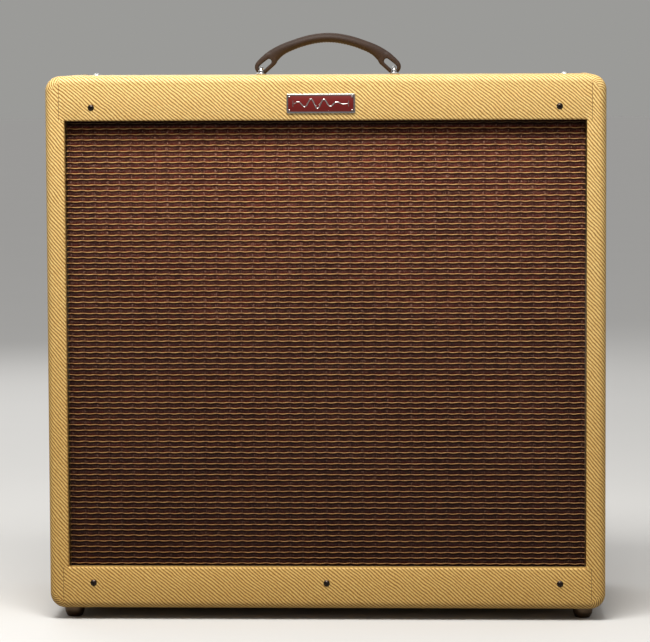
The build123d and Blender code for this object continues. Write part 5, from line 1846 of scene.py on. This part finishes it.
def plug_blade(place, x):
    """A flat blade starting at x, with its far end chamfered."""
    thick, half_width, root, tip, chamfer = 1.5, 3.2, 45.0, 62.0, 1.0

    def section(inset_x, inset_y, z):
        x0, x1, y = x + inset_x, x + thick - inset_x, half_width - inset_y
        return [(x0, -y, z), (x1, -y, z), (x1, y, z), (x0, y, z)]

    points = (section(0, 0, root) + section(0, 0, tip - chamfer)
              + section(thick * 0.35, chamfer * 0.7, tip))
    return [place @ Vector(p) for p in mm(points)], [(3, 2, 1, 0), (8, 9, 10, 11)] + ring_quads(4, 3)


def build_mains_cord():
    path = cord_path()
    add_mesh("mains_cord_jacket", tube(path, 0.00355, 20), "mains_cord", sharp=60,
             stands_for=("power_cord",), slot="cord")
    # the plug's local x points up and its local z runs along it
    forward = path[-1] - path[-2]
    forward.z = 0
    forward.normalize()
    up = Vector((0, 0, 1))
    turn = Matrix((up, forward.cross(up), forward)).transposed().to_4x4()
    plug = Matrix.Translation(path[-1]) @ turn
    add_mesh("mains_plug_body", lathe(plug_outline(), plug, 64), "phenolic", slot="cord")
    pin = lathe(mm(EARTH_PIN), plug @ Matrix.Translation((0, -0.0075, 0)), 32)
    pins = [plug_blade(plug, -7.2), plug_blade(plug, 5.7), pin]
    add_mesh("mains_plug_pins", join(pins), "nickel", slot="nickel")
    place = Matrix.Translation((CORD_X * MM, CORD_Y * MM, 0))
    add_mesh("cord_grommet", lathe(mm(GROMMET), place, 48), "phenolic", sharp=40, slot="cord")


# ---------------------------------------------------------------- stage
def build_floor():
    mesh = bpy.data.meshes.new("studio_floor")
    corners = [(-30, -12, 0), (30, -12, 0), (30, 40, 0), (-30, 40, 0)]
    mesh.from_pydata(corners, [], [(0, 1, 2, 3)])
    mesh.materials.append(MATERIALS["studio_floor"])
    floor = bpy.data.objects.new("studio_floor", mesh)
    bpy.context.scene.collection.objects.link(floor)
    return floor


def add_light(name, kind, place, **settings):
    light = bpy.data.lights.new(name, kind)
    for key, setting in settings.items():
        setattr(light, key, setting)
    ob = bpy.data.objects.new(name, light)
    bpy.context.scene.collection.objects.link(ob)
    ob.location = place
    return ob


def area_light(name, place, target, size, power, color=(1, 1, 1)):
    ob = add_light(name, "AREA", place, shape="RECTANGLE", size=size[0], size_y=size[1],
                   energy=power, color=color)
    aim = Vector(target) - Vector(place)
    ob.rotation_euler = aim.to_track_quat("-Z", "Y").to_euler()
    return ob


def build_stage():
    """Pale floor, three soft panels and a very wide overhead sun."""
    floor = build_floor()
    key = area_light("key", place=(-0.16, -0.84, 1.70), target=(0, -0.07, 0.44),
                     size=(1.15, 0.62), power=38.5, color=(1.0, 0.985, 0.96))
    fill = area_light("fill", place=(1.9, -2.7, 1.3), target=(0, 0, 0.3),
                      size=(1.6, 1.6), power=4.0, color=(0.97, 0.98, 1.0))
    behind = area_light("back", place=(-0.9, 2.3, 1.7), target=(0, 0, 0.35),
                        size=(2.4, 2.0), power=21.0)
    sky = add_light("soft_sky", "SUN", place=(0, 0, 3), energy=0.98, angle=math.radians(110))
    sky.rotation_euler = (math.radians(-4), 0, 0)
    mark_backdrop(floor, key, fill, sky, behind)


def build_world():
    """Light that brightens upwards, behind a plain grey backdrop for the camera."""
    world = bpy.data.worlds.new("studio")
    bpy.context.scene.world = world
    world.use_nodes = True
    g = Graph(world.node_tree)
    up = g.xyz(g.coordinates("Generated"))[2]
    height = g.math("MULTIPLY_ADD", up, 0.5, 0.5)
    glow = g.ramp(height, [(0.35, (0.55, 0.55, 0.56)), (0.75, 1.0)])
    lighting = g.value("ShaderNodeBackground", {"Color": glow, "Strength": 0.20})
    backdrop = g.value("ShaderNodeBackground", {"Color": (0.3285, 0.3268, 0.3155)})
    shader = g.value("ShaderNodeMixShader", {0: g.camera_ray(), 1: lighting, 2: backdrop})
    g.add("ShaderNodeOutputWorld", {0: shader})


def build_camera():
    place = Vector((0.1574142, -3.7043921, 0.612070))
    yaw, pitch, roll = 0.0442, 0.0807, -0.0043   # radians: to the left, down, tilt
    forward = Vector((-math.sin(yaw) * math.cos(pitch), math.cos(yaw) * math.cos(pitch),
                      -math.sin(pitch)))
    level = Vector((math.cos(yaw), math.sin(yaw), 0.0))
    upright = level.cross(forward)
    right = level * math.cos(roll) + upright * math.sin(roll)
    up = -level * math.sin(roll) + upright * math.cos(roll)
    lens = bpy.data.cameras.new("camera")
    lens.sensor_width = 36.0
    lens.lens = 186.306092
    lens.clip_start = 0.05
    lens.clip_end = 30.0
    camera = bpy.data.objects.new("camera", lens)
    bpy.context.scene.collection.objects.link(camera)
    turn = Matrix((right, up, -forward)).transposed().to_4x4()
    camera.matrix_world = Matrix.Translation(place) @ turn
    bpy.context.scene.camera = camera


def plain(value):
    """Bounds as rounded numbers that JSON can hold."""
    if isinstance(value, dict):
        return {key: plain(item) for key, item in value.items()}
    if isinstance(value, (list, tuple, Vector)):
        return [plain(item) for item in value]
    return round(float(value), 6)


make_materials()
build_covering()
build_back_skins()
build_grille_weave()
build_gold_threads()
build_handle()
build_badge()
carry_cad_pieces()
build_board_leads()
build_speakers()
build_valve_insides()
build_knobs()
build_panel_print()
build_speaker_leads()
build_mains_cord()
build_stage()
build_world()
bpy.context.scene.view_settings.view_transform = "Standard"
bpy.context.scene.view_settings.look = "None"
build_camera()

bpy.context.view_layer.update()
{"before": plain(SIZE_BEFORE), "after": plain(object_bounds())}
